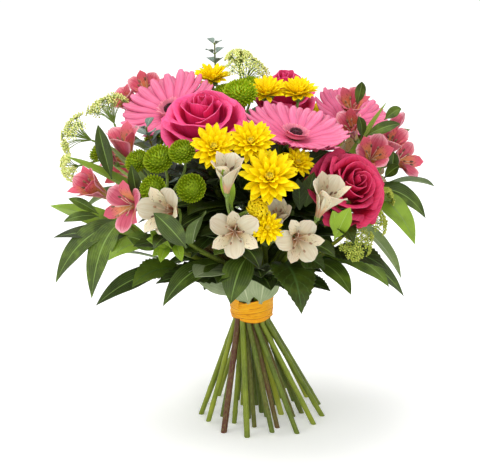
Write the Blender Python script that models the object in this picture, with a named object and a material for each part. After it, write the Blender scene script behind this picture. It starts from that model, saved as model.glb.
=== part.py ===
# A spiral hand-tied bouquet: roses, gerberas, spray chrysanthemums, button santini, alstroemerias,
# airy umbels, eucalyptus and long leaves, tied once and standing on its level-cut stem ends.
# X is to the right, Y away from the viewer, Z up; the floor is z = 0 and the middle is x = y = 0.
# Lengths in this file are millimetres, and mesh points are written in metres.

import math
import random

import bpy
import numpy as np

METRE = 0.001
CLEAR = 0.35  # between a stem's end and the bloom that is seated on it

# The tie, and the bundle of stems that it holds
TIE_X = 8
TIE_LOW = 100
TIE_HIGH = 125
TIE_INNER = 18.9
TIE_WRAP = 1.5
TIE_SIDES = 16
TIE_TURNS = 3
RINGS = ((0, 1), (5.2, 6), (10.4, 11), (15.8, 15))  # radius of a ring of stems, and how many

# Below the tie the stems run out straight, each turned round the bundle as it goes down
WAIST = 97.5
FOOT_SPREAD = 2.55
FOOT_TWIST = 1.25
FOOT_LEAN = 10
SHORTEST_CUT = 9

# Above the tie they turn the same way on, and bend up to their heads
NECK = 128
HEAD_SPREAD = 0.030
HEAD_TWIST = 0.022
HEAD_TURN = math.radians(38)

STEM_SIDES = 5
UPPER_STEPS = (0.0, 0.3, 0.55, 0.8, 1.0)
THICK = {
    "rose": 5.4, "gerbera": 5.6, "mum": 4.9, "alstro": 4.9, "santini": 4.7,
    "umbel": 4.6, "eucalyptus": 4.6, "foliage": 4.9,
}

COLOURS = {
    "hot_pink_rose": ("FF3F7F", 0.55), "crimson_rose": ("E2215F", 0.55), "gerbera_pink": ("F97FB5", 0.5),
    "gerbera_eye": ("4A1A28", 0.8), "chrysanthemum_yellow": ("FBD800", 0.5),
    "santini_green": ("7FA320", 0.6), "alstroemeria_pink": ("E87A8E", 0.5),
    "alstroemeria_cream": ("E8DEC8", 0.5), "umbel_green": ("B8C850", 0.7),
    "eucalyptus_grey": ("7E9280", 0.7), "stem_green": ("5E7F30", 0.5), "leaf_green": ("3F6A24", 0.4),
    "tie_orange": ("FFA800", 0.7),
}

# Each stem: kind, where its top is, and which way the top points (degrees round from the front
# towards +X, then degrees up)
STEMS = {
    "rose_left": ("rose", (-34, -36, 281), (-8, 66)),
    "rose_right": ("rose", (83, -70, 241), (30, 35)),
    "rose_back": ("rose", (38, 60, 284), (10, 75)),
    "rose_rear": ("rose", (8, 82, 238), (178, 38)),
    "gerbera_left": ("gerbera", (-66, 36, 289), (-38, 60)),
    "gerbera_right": ("gerbera", (45, -51, 286), (50, 76)),
    "gerbera_back": ("gerbera", (101, 78, 269), (50, 62)),
    "mum_front": ("mum", (15, -72, 238), (5, 50)),
    "mum_low": ("mum", (-8, -74, 224), (-5, 50)),
    "mum_top": ("mum", (35, 14, 274), (0, 80)),
    "mum_left": ("mum", (-27, 65, 303), (-10, 70)),
    "mum_rear": ("mum", (48, 84, 240), (160, 50)),
    "pink_left": ("alstro", (-112, -58, 220), (-55, 35)),
    "pink_high": ("alstro", (-98, 6, 248), (-60, 60)),
    "pink_peak": ("alstro", (-92, 80, 268), (-40, 75)),
    "pink_back": ("alstro", (112, 20, 258), (70, 60)),
    "pink_right": ("alstro", (122, -18, 242), (75, 40)),
    "pink_rear": ("alstro", (-88, 62, 214), (240, 30)),
    "cream_left": ("alstro", (-56, -92, 216), (-20, 30)),
    "cream_front": ("alstro", (-8, -104, 220), (0, 30)),
    "cream_right": ("alstro", (50, -96, 214), (20, 30)),
    "cream_rear": ("alstro", (86, 62, 206), (140, 30)),
    "santini_left": ("santini", (-72, -56, 228), (-50, 50)),
    "santini_top": ("santini", (-8, 14, 274), (0, 80)),
    "santini_rear": ("santini", (-56, 78, 226), (215, 45)),
    "umbel_top": ("umbel", (0, 64, 306), (0, 85)),
    "umbel_left": ("umbel", (-112, 26, 258), (-80, 45)),
    "umbel_right": ("umbel", (92, -56, 202), (50, 25)),
    "umbel_rear": ("umbel", (-24, 108, 206), (188, 25)),
    "eucalyptus_top": ("eucalyptus", (-28, 96, 349), (0, 88)),
    "eucalyptus_left": ("eucalyptus", (-90, -14, 292), (-60, 70)),
    "foliage_left": ("foliage", (-62, -40, 166), (-60, 20)),
    "foliage_right": ("foliage", (76, -50, 184), (50, 20)),
}

# Rose blooms: colour, diameter, height
ROSES = {
    "rose_left": ("hot_pink_rose", 74, 50),
    "rose_right": ("crimson_rose", 67, 47),
    "rose_back": ("hot_pink_rose", 56, 44),
    "rose_rear": ("hot_pink_rose", 62, 46),
}
GERBERAS = {"gerbera_left": 96, "gerbera_right": 98, "gerbera_back": 84}
GERBERA_PETALS = 19

# Heads on branched sprays: stem, centre of the head, facing, diameter
MUMS = {
    "mum_front_heads": (
        ("mum_front", (22, -123, 273), (0, 38), 58),
        ("mum_front", (6, -102, 300), (0, 38), 45),
        ("mum_low", (-26, -105, 296), (0, 38), 46),
        ("mum_low", (12, -136, 251), (-5, 20), 18),
        ("mum_low", (20, -138, 234), (5, 24), 32),
    ),
    "mum_right_head": (("mum_front", (47, -89, 277), (15, 52), 34),),
    "mum_top_heads": (
        ("mum_top", (22, 17, 315), (0, 74), 42),
        ("mum_top", (51, 17, 315), (0, 74), 42),
    ),
    "mum_left_head": (("mum_left", (-30, 66, 318), (-10, 74), 40),),
    "mum_rear_heads": (
        ("mum_rear", (46, 100, 284), (160, 45), 46),
        ("mum_rear", (70, 110, 267), (160, 45), 46),
        ("mum_rear", (44, 121, 264), (160, 30), 19),
    ),
}
SANTINI = {
    "santini_left": (
        ((-136, 10, 262), (-80, 45), 20), ((-96, -62, 273), (-50, 45), 22),
        ((-75, -84, 281), (-35, 50), 27), ((-80, -100, 258), (-35, 25), 24),
        ((-54, -92, 290), (-20, 55), 23), ((-46, -108, 261), (-20, 30), 25),
    ),
    "santini_top": (
        ((-3, -3, 322), (0, 65), 30), ((8, 41, 319), (10, 75), 22), ((-18, 52, 310), (-10, 75), 20),
    ),
    "santini_rear": (
        ((-54, 98, 280), (210, 50), 26), ((-62, 118, 254), (205, 30), 24), ((-88, 102, 250), (225, 30), 24),
    ),
}

# Alstroemeria umbels: for each floret its throat, its facing, its length and how far it opens
OPEN = 1.0
TRUMPET = 0.35
BUD = 0.0
FLORETS = {
    "pink_left": (
        ((-143, -46, 246), (-55, 35), 44, TRUMPET), ((-108, -96, 241), (-40, 10), 42, OPEN),
    ),
    "pink_high": (
        ((-110, -28, 285), (-50, 75), 42, TRUMPET), ((-130, -14, 268), (-70, 45), 26, BUD),
    ),
    "pink_peak": (
        ((-96, 82, 311), (-20, 60), 38, 0.6), ((-116, 70, 298), (-60, 45), 36, TRUMPET),
    ),
    "pink_back": (
        ((102, 22, 308), (0, 60), 38, 0.6), ((98, -2, 292), (-30, 50), 36, TRUMPET),
        ((148, 30, 290), (70, 50), 28, BUD),
    ),
    "pink_right": (
        ((118, -44, 276), (10, 40), 40, 0.6), ((155, 6, 258), (60, 25), 40, 0.8),
        ((138, -8, 280), (30, 60), 38, TRUMPET),
    ),
    "pink_rear": (((-126, 60, 252), (250, 40), 42, OPEN), ((-120, 96, 222), (225, 10), 42, OPEN)),
    "cream_left": (((-73, -124, 245), (-30, 15), 44, 0.8),),
    "cream_front": (((-14, -141, 289), (5, 75), 39, TRUMPET), ((-9, -149, 232), (-4, 8), 40, OPEN)),
    "cream_right": (
        ((50, -142, 223), (15, 5), 39, OPEN), ((73, -136, 266), (35, 60), 46, TRUMPET),
        ((30, -118, 242), (8, 62), 32, TRUMPET),
    ),
    "cream_rear": (((108, 102, 240), (140, 30), 42, OPEN), ((128, 76, 228), (120, 15), 42, OPEN)),
}

# Airy umbels: stem, then the middle of each cluster and its radius
UMBELS = {
    "umbel_top": (((4, 60, 336), 22), ((-6, 76, 342), 14)),
    "umbel_left": (((-164, 20, 279), 22), ((-131, 42, 303), 22), ((-166, -8, 250), 14)),
    "umbel_right": (((102, -96, 206), 14), ((122, -64, 222), 14), ((132, -36, 236), 10)),
    "umbel_rear": (((-30, 140, 216), 18), ((6, 144, 208), 14)),
}

# Leaves: the stem that bears each one, how far up the stem it starts (0 at the tie, 1 at the top), its
# tip, its width, how far its midrib arches, and its form
LANCE = "lance"
BROAD = "broad"
TOOTHED = "toothed"
LEAVES = (
    # the left rim and the whorl under the left alstroemeria
    ("pink_high", 0.58, (-162, -36, 270), 20, 4, LANCE),
    ("pink_left", 0.68, (-180, -26, 220), 19, 5, LANCE),
    ("pink_left", 0.62, (-175, -48, 196), 18, 9, LANCE),
    ("pink_left", 0.93, (-174, -52, 153), 24, 14, LANCE),
    ("pink_left", 0.96, (-139, -74, 146), 27, 13, LANCE),
    ("pink_left", 0.60, (-122, -84, 186), 24, 10, LANCE),
    ("pink_high", 0.62, (-130, -48, 290), 16, 4, LANCE),
    # the collar over the tie
    ("foliage_left", 0.85, (-102, -72, 156), 30, 10, TOOTHED),
    ("foliage_left", 0.97, (-136, -66, 136), 21, 8, LANCE),
    ("foliage_left", 0.95, (-150, 10, 150), 22, 14, LANCE),
    ("cream_left", 0.45, (-73, -92, 145), 22, 12, LANCE),
    ("cream_left", 0.28, (-44, -84, 170), 34, 6, BROAD),
    ("cream_front", 0.55, (-12, -89, 146), 30, 8, LANCE),
    ("cream_front", 0.12, (20, -72, 172), 32, 4, BROAD),
    ("cream_left", 0.20, (-80, -82, 163), 32, 8, TOOTHED),
    ("foliage_right", 0.12, (80, -66, 150), 28, 6, TOOTHED),
    ("cream_right", 0.45, (52, -104, 142), 42, 14, TOOTHED),
    ("foliage_right", 0.75, (97, -92, 156), 20, 8, LANCE),
    ("foliage_right", 0.90, (134, -60, 152), 22, 12, LANCE),
    ("foliage_right", 0.98, (151, -30, 132), 22, 12, LANCE),
    ("pink_right", 0.60, (152, 10, 136), 24, 14, LANCE),
    # the right rim
    ("pink_right", 0.90, (157, -56, 192), 24, 10, LANCE),
    ("pink_right", 0.93, (170, -20, 206), 20, 10, LANCE),
    ("pink_right", 0.86, (180, 4, 230), 22, 10, LANCE),
    ("pink_back", 0.95, (156, 8, 284), 15, 6, LANCE),
    ("pink_back", 0.58, (136, 42, 302), 15, 4, LANCE),
    # between the flowers in front
    ("cream_left", 0.80, (-36, -130, 242), 24, 6, BROAD),
    ("cream_left", 0.92, (-78, -136, 214), 20, 8, LANCE),
    ("cream_left", 0.66, (-98, -104, 206), 26, 8, TOOTHED),
    ("rose_left", 0.52, (-50, -82, 228), 30, 8, TOOTHED),
    ("rose_left", 0.70, (-14, -86, 262), 26, 6, TOOTHED),
    ("mum_front", 0.70, (44, -108, 236), 28, 6, TOOTHED),
    ("mum_low", 0.70, (-38, -112, 218), 26, 6, TOOTHED),
    ("rose_right", 0.78, (96, -128, 216), 28, 8, TOOTHED),
    ("foliage_right", 0.96, (128, -98, 182), 28, 8, TOOTHED),
    ("cream_right", 0.80, (80, -128, 204), 20, 8, LANCE),
    ("cream_front", 0.70, (14, -136, 196), 20, 8, LANCE),
    # deep between the stems, seen through the gaps
    ("santini_top", 0.50, (-4, -54, 254), 26, 4, TOOTHED),
    ("mum_top", 0.55, (52, -22, 244), 26, 4, TOOTHED),
    ("mum_low", 0.42, (-34, -92, 212), 24, 4, LANCE),
    ("mum_front", 0.45, (38, -92, 208), 26, 4, LANCE),
    ("cream_front", 0.62, (-26, -122, 204), 22, 6, LANCE),
    ("rose_right", 0.45, (94, -84, 208), 26, 6, LANCE),
    ("santini_left", 0.62, (-92, -74, 226), 26, 4, LANCE),
    ("pink_high", 0.50, (-106, -30, 222), 26, 4, LANCE),
    ("pink_back", 0.52, (112, -10, 222), 26, 4, LANCE),
    ("rose_back", 0.55, (74, 26, 250), 26, 4, TOOTHED),
    ("pink_peak", 0.55, (-104, 44, 240), 24, 4, LANCE),
    ("pink_peak", 0.78, (-134, 90, 262), 22, 4, LANCE),
    ("mum_top", 0.80, (62, -6, 286), 22, 2, TOOTHED),
    ("santini_top", 0.84, (-10, -34, 292), 22, 2, TOOTHED),
    ("umbel_top", 0.80, (20, 88, 290), 22, 2, TOOTHED),
    ("mum_left", 0.75, (-44, 70, 284), 20, 2, TOOTHED),
    ("santini_rear", 0.60, (-44, 104, 204), 26, 6, LANCE),
    ("umbel_rear", 0.80, (-52, 140, 190), 22, 8, LANCE),
    ("umbel_rear", 0.90, (20, 155, 184), 20, 8, LANCE),
    # the rear
    ("pink_rear", 0.90, (-156, 60, 190), 20, 12, LANCE),
    ("pink_rear", 0.80, (-130, 104, 160), 22, 12, LANCE),
    ("pink_rear", 0.50, (-70, 112, 142), 22, 12, LANCE),
    ("pink_rear", 0.70, (-150, 26, 216), 20, 10, LANCE),
    ("rose_rear", 0.55, (-10, 126, 166), 34, 10, TOOTHED),
    ("rose_rear", 0.75, (36, 132, 204), 28, 8, TOOTHED),
    ("mum_rear", 0.50, (44, 126, 150), 28, 10, TOOTHED),
    ("mum_rear", 0.75, (76, 130, 206), 26, 8, TOOTHED),
    ("cream_rear", 0.90, (154, 66, 186), 20, 12, LANCE),
    ("cream_rear", 0.80, (124, 112, 166), 22, 12, LANCE),
    ("cream_rear", 0.45, (88, 100, 136), 22, 12, LANCE),
    ("cream_rear", 0.70, (150, 36, 214), 20, 10, LANCE),
)


def unit(v):
    return v / np.linalg.norm(v)


def facing(around, up):
    a, e = math.radians(around), math.radians(up)
    return np.array((math.cos(e) * math.sin(a), -math.cos(e) * math.cos(a), math.sin(e)))


def frame_of(axis):
    """Two unit vectors square to the axis; the second points as far up as it can."""
    side = np.cross(axis, (0.0, 0.0, 1.0))
    if np.linalg.norm(side) < 0.05:
        side = np.array((1.0, 0.0, 0.0))
    side = unit(side)
    return side, np.cross(side, axis)


def bezier(a, b, c, d, t):
    t = np.asarray(t, float)[:, None]
    return (1 - t) ** 3 * a + 3 * t * (1 - t) ** 2 * b + 3 * t * t * (1 - t) * c + t**3 * d


def slot_places():
    """Each stem's place in the tie: heads near the middle have inner slots, and the order round the
    bundle is that of the heads, turned back by the twist, so that no stem crosses another."""
    polar = {}
    for name, (kind, top, _) in STEMS.items():
        x, y = top[0] - TIE_X, top[1]
        low = max(0, 300 - top[2])
        polar[name] = (math.hypot(x, y) + 0.5 * low, math.atan2(y, x))
    order = sorted(polar, key=lambda name: polar[name][0])
    places = {}
    for radius, count in RINGS:
        members = sorted(order[:count], key=lambda name: polar[name][1])
        order = order[count:]
        step = 2 * math.pi / count
        start = sum(polar[name][1] - k * step for k, name in enumerate(members)) / count
        for k, name in enumerate(members):
            places[name] = radius * complex(math.cos(start + k * step + HEAD_TURN),
                                            math.sin(start + k * step + HEAD_TURN))
    return places


def stem_paths():
    """For each stem its foot, its place at the waist, and the four control points of its upper curve."""
    draw = random.Random(7)
    paths = {}
    for k, (name, place) in enumerate(slot_places().items()):
        top = np.array(STEMS[name][1], float)
        end = facing(*STEMS[name][2])
        foot_z = 0.0 if k % 2 == 0 else draw.uniform(1, SHORTEST_CUT)
        s = (WAIST - foot_z) / WAIST
        foot = place * (1 + s * complex(FOOT_SPREAD, FOOT_TWIST)) + s * FOOT_LEAN
        neck = np.array((TIE_X + place.real, place.imag, NECK))
        run = place * complex(HEAD_SPREAD, -HEAD_TWIST)
        rise = unit(np.array((run.real, run.imag, 1.0)))
        reach = np.linalg.norm(top - neck)
        paths[name] = (
            np.array((TIE_X + foot.real, foot.imag, foot_z)),
            np.array((TIE_X + place.real, place.imag, WAIST)),
            (neck, neck + 0.38 * reach * rise, top - 0.30 * reach * unit(end + (0, 0, 0.7)), top),
        )
    return paths


PATHS = stem_paths()


def material(name):
    made = bpy.data.materials.get(name)
    if made:
        return made
    made = bpy.data.materials.new(name)
    made.use_nodes = True
    shader = made.node_tree.nodes["Principled BSDF"]
    colour, roughness = COLOURS[name]
    rgb = [int(colour[i:i + 2], 16) / 255 for i in (0, 2, 4)]
    linear = [c / 12.92 if c <= 0.04045 else ((c + 0.055) / 1.055) ** 2.4 for c in rgb]
    shader.inputs["Base Color"].default_value = (*linear, 1)
    shader.inputs["Roughness"].default_value = roughness
    shader.inputs["Metallic"].default_value = 0
    made.diffuse_color = (*linear, 1)
    return made


class Solid:
    """Points and triangles of one closed shape, in millimetres."""

    def __init__(self):
        self.points = []
        self.faces = []

    def add(self, point):
        self.points.append(np.asarray(point, float))
        return len(self.points) - 1

    def tri(self, a, b, c):
        if a != b and b != c and c != a:
            self.faces.append((a, b, c))

    def quad(self, a, b, c, d):
        self.tri(a, b, c)
        self.tri(a, c, d)

    def face_out(self):
        """Turns every triangle round if the shape is inside out."""
        corners = np.array(self.points)[np.array(self.faces)]
        if np.linalg.det(corners - corners[0, 0]).sum() < 0:
            self.faces = [face[::-1] for face in self.faces]


def blade(rows, thick):
    """A lens-shaped blade from rows of points across it: its rim is shared by both faces, its inner
    points are doubled, and both faces are split into triangles alike. A row of one point is a tip."""
    made = Solid()
    most = max(len(row) for row in rows)
    grid = [[np.asarray(p, float) for p in row] if len(row) == most else [np.asarray(row[0], float)] * most
            for row in rows]
    last = len(grid) - 1
    upper, lower = [], []
    for i, row in enumerate(grid):
        ups, downs = [], []
        for j, point in enumerate(row):
            if len(rows[i]) == 1:
                index = ups[0] if ups else made.add(point)
                ups.append(index)
                downs.append(index)
            elif i in (0, last) or j in (0, most - 1):
                index = made.add(point)
                ups.append(index)
                downs.append(index)
            else:
                along = grid[i + 1][j] - grid[i - 1][j]
                across = row[j + 1] - row[j - 1]
                lift = unit(np.cross(across, along)) * thick / 2
                ups.append(made.add(point + lift))
                downs.append(made.add(point - lift))
        upper.append(ups)
        lower.append(downs)

    def depth(i, j):
        if len(rows[i]) == 1:
            return -1
        return min(i, last - i, j, most - 1 - j)

    for i in range(last):
        for j in range(most - 1):
            corners = [(i, j), (i + 1, j), (i + 1, j + 1), (i, j + 1)]
            first = max(depth(*corners[0]), depth(*corners[2]))
            second = max(depth(*corners[1]), depth(*corners[3]))
            left = j < (most - 1) / 2
            turn = 0 if first > second or (first == second and left) else 1
            corners = corners[turn:] + corners[:turn]
            made.quad(*(upper[a][b] for a, b in reversed(corners)))
            made.quad(*(lower[a][b] for a, b in corners))
    return made


def tube(points, radii, sides, level=False):
    """A round bar along the points. With level its first end is cut level instead of square."""
    made = Solid()
    points = [np.asarray(p, float) for p in points]
    side = None
    rings = []
    for i, point in enumerate(points):
        ahead = points[min(i + 1, len(points) - 1)] - points[max(i - 1, 0)]
        ahead = unit(ahead)
        if side is None:
            side = frame_of(ahead)[0]
        side = unit(side - ahead * side.dot(ahead))
        other = np.cross(ahead, side)
        ring = []
        for k in range(sides):
            turn = 2 * math.pi * k / sides
            offset = radii[i] * (math.cos(turn) * side + math.sin(turn) * other)
            if level and i == 0:
                offset = offset - ahead * offset[2] / ahead[2]
            ring.append(made.add(point + offset))
        rings.append(ring)
    for a, b in zip(rings, rings[1:]):
        for k in range(sides):
            made.quad(a[k], a[(k + 1) % sides], b[(k + 1) % sides], b[k])
    for k in range(1, sides - 1):
        made.tri(rings[0][0], rings[0][k + 1], rings[0][k])
        made.tri(rings[-1][0], rings[-1][k], rings[-1][k + 1])
    return made


def turned(place, axis, profile, sides, phase=0.0):
    """A solid of revolution round the axis; the profile is (along, radius) pairs between its two tips."""
    made = Solid()
    side, other = frame_of(axis)
    first = made.add(place + axis * profile[0][0])
    rings = []
    for along, radius in profile[1:-1]:
        ring = []
        for k in range(sides):
            turn = phase + 2 * math.pi * k / sides
            ring.append(made.add(place + axis * along + radius * (math.cos(turn) * side + math.sin(turn) * other)))
        rings.append(ring)
    last = made.add(place + axis * profile[-1][0])
    for k in range(sides):
        n = (k + 1) % sides
        made.tri(first, rings[0][n], rings[0][k])
        for a, b in zip(rings, rings[1:]):
            made.quad(a[k], a[n], b[n], b[k])
        made.tri(last, rings[-1][k], rings[-1][n])
    return made


def rosette(place, axis, layers, bottom, top, thick, roll=0.0):
    """Rows of petals round one hub, as one closed shape, from the lowest row to the highest. Every row
    has as many petals, and stands half a petal round from the last. A petal is a list of stations
    (out, along, half width): the first is where the petals part, and the last is the petal's end. A
    station may add its own thickness.
    Bottom and top say how far along the axis the hub's two tips are."""
    made = Solid()
    side, other = frame_of(axis)
    count = len(layers[0])
    step = 2 * math.pi / count

    def at(turn, out, along, across):
        radial = math.cos(turn) * side + math.sin(turn) * other
        round_it = -math.sin(turn) * side + math.cos(turn) * other
        return place + radial * out + round_it * across + axis * along

    def put(flip, a, b, c):
        made.tri(*((c, b, a) if flip else (a, b, c)))

    def join(ring, notches, mids, shift, flip):
        """The faces between a row's middle points and the ring or tip that the row springs from."""
        for k in range(count):
            left, right, mid = notches[k], notches[(k + 1) % count], mids[k][0]
            if len(ring) == 1:
                put(flip, ring[0], left, mid)
                put(flip, ring[0], mid, right)
            elif shift:
                put(flip, ring[k], left, mid)
                put(flip, ring[k], mid, right)
                put(flip, ring[k], right, ring[(k + 1) % count])
            else:
                put(flip, ring[k], left, mid)
                put(flip, ring[k], mid, ring[(k + 1) % count])
                put(flip, ring[(k + 1) % count], mid, right)

    spring = [made.add(place + axis * bottom)]
    for row, petals in enumerate(layers):
        start = roll + 0.5 * step * row
        part_out, part_along = petals[0][0][:2]
        notches = [made.add(at(start + (k - 0.5) * step, part_out, part_along, 0)) for k in range(count)]
        over, under = [], []
        for k, stations in enumerate(petals):
            turn = start + k * step
            edges = [(notches[k], notches[(k + 1) % count])]
            ups, downs = [], []
            for out, along, half, *more in stations[1:-1]:
                depth = more[0] if more else thick
                ups.append(made.add(at(turn, out, along + depth / 2, 0)))
                downs.append(made.add(at(turn, out, along - depth / 2, 0)))
                if half:
                    edges.append((made.add(at(turn, out, along, -half)), made.add(at(turn, out, along, half))))
            out, along, half = stations[-1]
            ends = [made.add(at(turn, out, along, half * s)) for s in ((-1, 1) if half else (0,))]
            over.append(ups)
            under.append(downs)
            for mids, flip in ((ups, False), (downs, True)):
                for i, (low, high) in enumerate(zip(edges, edges[1:])):
                    mid = mids[min(i, len(mids) - 1)]
                    put(flip, low[0], high[0], mid)
                    put(flip, mid, high[1], low[1])
                    if i + 1 < len(mids):
                        put(flip, mid, high[0], mids[i + 1])
                        put(flip, mid, mids[i + 1], high[1])
                chain = [edges[-1][0], *ends, edges[-1][1]]
                for a, b in zip(chain, chain[1:]):
                    put(flip, a, b, mids[-1])
        join(spring, notches, under, True, True)
        if row + 1 < len(layers):
            neck_out = 0.8 * part_out
            neck_along = part_along + thick / 2
            spring = [made.add(at(start + (k - 0.5) * step, neck_out, neck_along, 0)) for k in range(count)]
            join(spring, notches, over, False, False)
            spring = spring[1:] + spring[:1]
        else:
            join([made.add(place + axis * top)], notches, over, False, False)
    return made


def solid_object(name, made, colour):
    made.face_out()
    mesh = bpy.data.meshes.new(name)
    mesh.from_pydata([tuple(p * METRE) for p in made.points], [], made.faces)
    mesh.materials.append(material(colour))
    obj = bpy.data.objects.new(name, mesh)
    bpy.context.scene.collection.objects.link(obj)
    return obj


def shells_of(mesh):
    """The mesh's separate shells, as lists of polygons, with the volume that each one holds."""
    owner = list(range(len(mesh.vertices)))

    def find(a):
        while owner[a] != a:
            owner[a] = owner[owner[a]]
            a = owner[a]
        return a

    for polygon in mesh.polygons:
        first = find(polygon.vertices[0])
        for other in polygon.vertices[1:]:
            owner[find(other)] = first
    shells = {}
    for polygon in mesh.polygons:
        shells.setdefault(find(polygon.vertices[0]), []).append(polygon)
    found = []
    for polygons in shells.values():
        volume = 0.0
        for polygon in polygons:
            corners = [mesh.vertices[v].co for v in polygon.vertices]
            for b, c in zip(corners[1:], corners[2:]):
                volume += corners[0].dot(b.cross(c)) / 6
        found.append((volume, polygons))
    return sorted(found, key=lambda shell: -shell[0])


def keep_main_shell(obj):
    """Fills a hollow that the union sealed, and drops a loose scrap."""
    mesh = obj.data
    shells = shells_of(mesh)
    if len(shells) == 1:
        return
    print(obj.name, "drops", ", ".join(f"{volume * 1e9:.2f} mm3" for volume, _ in shells[1:]))
    kept = shells[0][1]
    used = sorted({v for polygon in kept for v in polygon.vertices})
    index = {v: k for k, v in enumerate(used)}
    points = [tuple(mesh.vertices[v].co) for v in used]
    faces = [tuple(index[v] for v in polygon.vertices) for polygon in kept]
    materials = list(mesh.materials)
    mesh.clear_geometry()
    mesh.from_pydata(points, [], faces)
    for kept_material in materials:
        if kept_material.name not in mesh.materials:
            mesh.materials.append(kept_material)


def fuse(name, pieces, colour):
    """Joins the pieces into one body by one Boolean union on a collection."""
    obj = solid_object(name, pieces[0], colour)
    if len(pieces) > 1:
        group = bpy.data.collections.new("pieces")
        bpy.context.scene.collection.children.link(group)
        for k, piece in enumerate(pieces[1:]):
            other = solid_object(f"piece {k}", piece, colour)
            bpy.context.scene.collection.objects.unlink(other)
            group.objects.link(other)
        union = obj.modifiers.new("Union", "BOOLEAN")
        union.operation = "UNION"
        union.operand_type = "COLLECTION"
        union.collection = group
        union.solver = "MANIFOLD"
        bpy.context.view_layer.objects.active = obj
        bpy.ops.object.modifier_apply(modifier="Union")
        for other in list(group.objects):
            bpy.data.objects.remove(other)
        bpy.data.collections.remove(group)
        keep_main_shell(obj)
    obj.data.shade_smooth()
    obj.data.set_sharp_from_angle(angle=math.radians(40))
    return obj


# Stems

def stem_bar(name, flare):
    """The stem from its level-cut foot through the tie to its top; flare widens its end under a bloom."""
    kind = STEMS[name][0]
    radius = THICK[kind] / 2
    foot, waist, curve = PATHS[name]
    upper = bezier(*curve, UPPER_STEPS)
    points = [foot, waist, *upper]
    radii = [radius] * 4 + [0.92 * radius, 0.85 * radius, 0.8 * radius]
    length, wide = flare
    if length:
        points[-1] = upper[-1] - facing(*STEMS[name][2]) * length
        points.append(upper[-1])
        radii.append(wide)
    elif wide:
        radii[-1] = wide
    return tube(points, radii, STEM_SIDES, level=True)


def on_stem(name, t):
    """A point inside the bar, whose upper part is straight between its corners."""
    corners = bezier(*PATHS[name][2], UPPER_STEPS)
    return np.array([np.interp(t, UPPER_STEPS, corners[:, k]) for k in range(3)])


def branch(start, end, axis, radius, sides=3):
    reach = np.linalg.norm(end - start)
    points = bezier(start, start + 0.35 * reach * unit(end - start + (0, 0, 0.4 * reach)),
                    end - 0.4 * reach * axis, end, np.linspace(0, 1, 4))
    return tube(points, [radius] * 4, sides)


# Leaves

LEAF_FORMS = {
    # stations along the midrib, and the half width at each as a share of the width
    LANCE: ((0.0, 0.0), (0.22, 0.36), (0.50, 0.50), (0.80, 0.32), (1.0, 0.0)),
    BROAD: ((0.0, 0.0), (0.18, 0.36), (0.50, 0.50), (0.82, 0.36), (1.0, 0.0)),
    TOOTHED: ((0.0, 0.0), (0.26, 0.46), (0.32, 0.40), (0.50, 0.50), (0.57, 0.40), (0.78, 0.30), (1.0, 0.0)),
}
LEAF_THICK = 1.1
LEAF_FOLD = 0.28


def leaf(base, tip, width, arch, form):
    tip = np.asarray(tip, float)
    out = unit(np.array((tip[0] - TIE_X, tip[1], 0.0)))
    middle = (base + tip) / 2 + 2 * arch * unit(0.4 * out + (0, 0, 1.0))
    rows = []
    for t, half in LEAF_FORMS[form]:
        point = (1 - t) ** 2 * base + 2 * t * (1 - t) * middle + t * t * tip
        if half == 0:
            rows.append([point])
            continue
        ahead = unit(2 * (1 - t) * (middle - base) + 2 * t * (tip - middle))
        across = unit(np.cross(ahead, 0.6 * out + (0, 0, 1.0)))
        face = np.cross(across, ahead)
        offset = half * width
        raised = face * LEAF_FOLD * offset
        rows.append([point - across * offset + raised, point, point + across * offset + raised])
    return blade(rows, LEAF_THICK)


def leaves_of(name):
    return [leaf(on_stem(owner, t), tip, width, arch, form)
            for owner, t, tip, width, arch, form in LEAVES if owner == name]


# Blooms

def rose_petal(place, axis, turn, radii, heights, spread, skew, points, thick=1.0):
    """A cupped petal: radii and heights say how its middle line rises, spread is half its wrap round
    the bud, and skew turns one edge in and the other out, so that neighbours lap."""
    side, other = frame_of(axis)
    rows = [[place + axis * 1.0]]
    for i, (radius, height) in enumerate(zip(radii, heights)):
        row = []
        wrap = spread * (0.75, 1.0, 0.80)[i]
        for v in np.linspace(-1, 1, points):
            angle = turn + wrap * v
            out = radius * (1 + skew * v)
            drop = (0.0, 1.0, 4.0)[i] * v * v
            radial = math.cos(angle) * side + math.sin(angle) * other
            row.append(place + radial * out + axis * (height - drop))
        rows.append(row)
    return blade(rows, thick)


def rose_bloom(name):
    colour, wide, tall = ROSES[name]
    axis = facing(*STEMS[name][2])
    place = np.array(STEMS[name][1], float) + axis * CLEAR
    fine = 1 if wide > 64 else 0
    whorls = (
        # petals, how their middle line rises as shares of the radius and the height, wrap, skew, points
        (3, (0.28, 0.32, 0.24), (0.40, 0.74, 1.00), 66, 0.10, 3 + fine),
        (4, (0.44, 0.56, 0.60), (0.26, 0.56, 0.82), 54, 0.08, 3 + fine),
        (5, (0.60, 0.86, 1.00), (0.16, 0.40, 0.52), 43, 0.06, 4 + fine),
    )
    pieces = [turned(place, axis, [(0, 0), (0, 0.2 * wide / 2), (0.25 * tall, 0.32 * wide / 2),
                                   (0.80 * tall, 0.16 * wide / 2), (0.92 * tall, 0)], 6)]
    for w, (count, radii, heights, spread, skew, points) in enumerate(whorls):
        for k in range(count):
            turn = 2 * math.pi * (k + 0.37 * w) / count
            pieces.append(rose_petal(place, axis, turn, [r * wide / 2 for r in radii],
                                     [h * tall for h in heights], math.radians(spread), skew, points))
    return fuse(name + "_bloom", pieces, colour)


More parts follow.
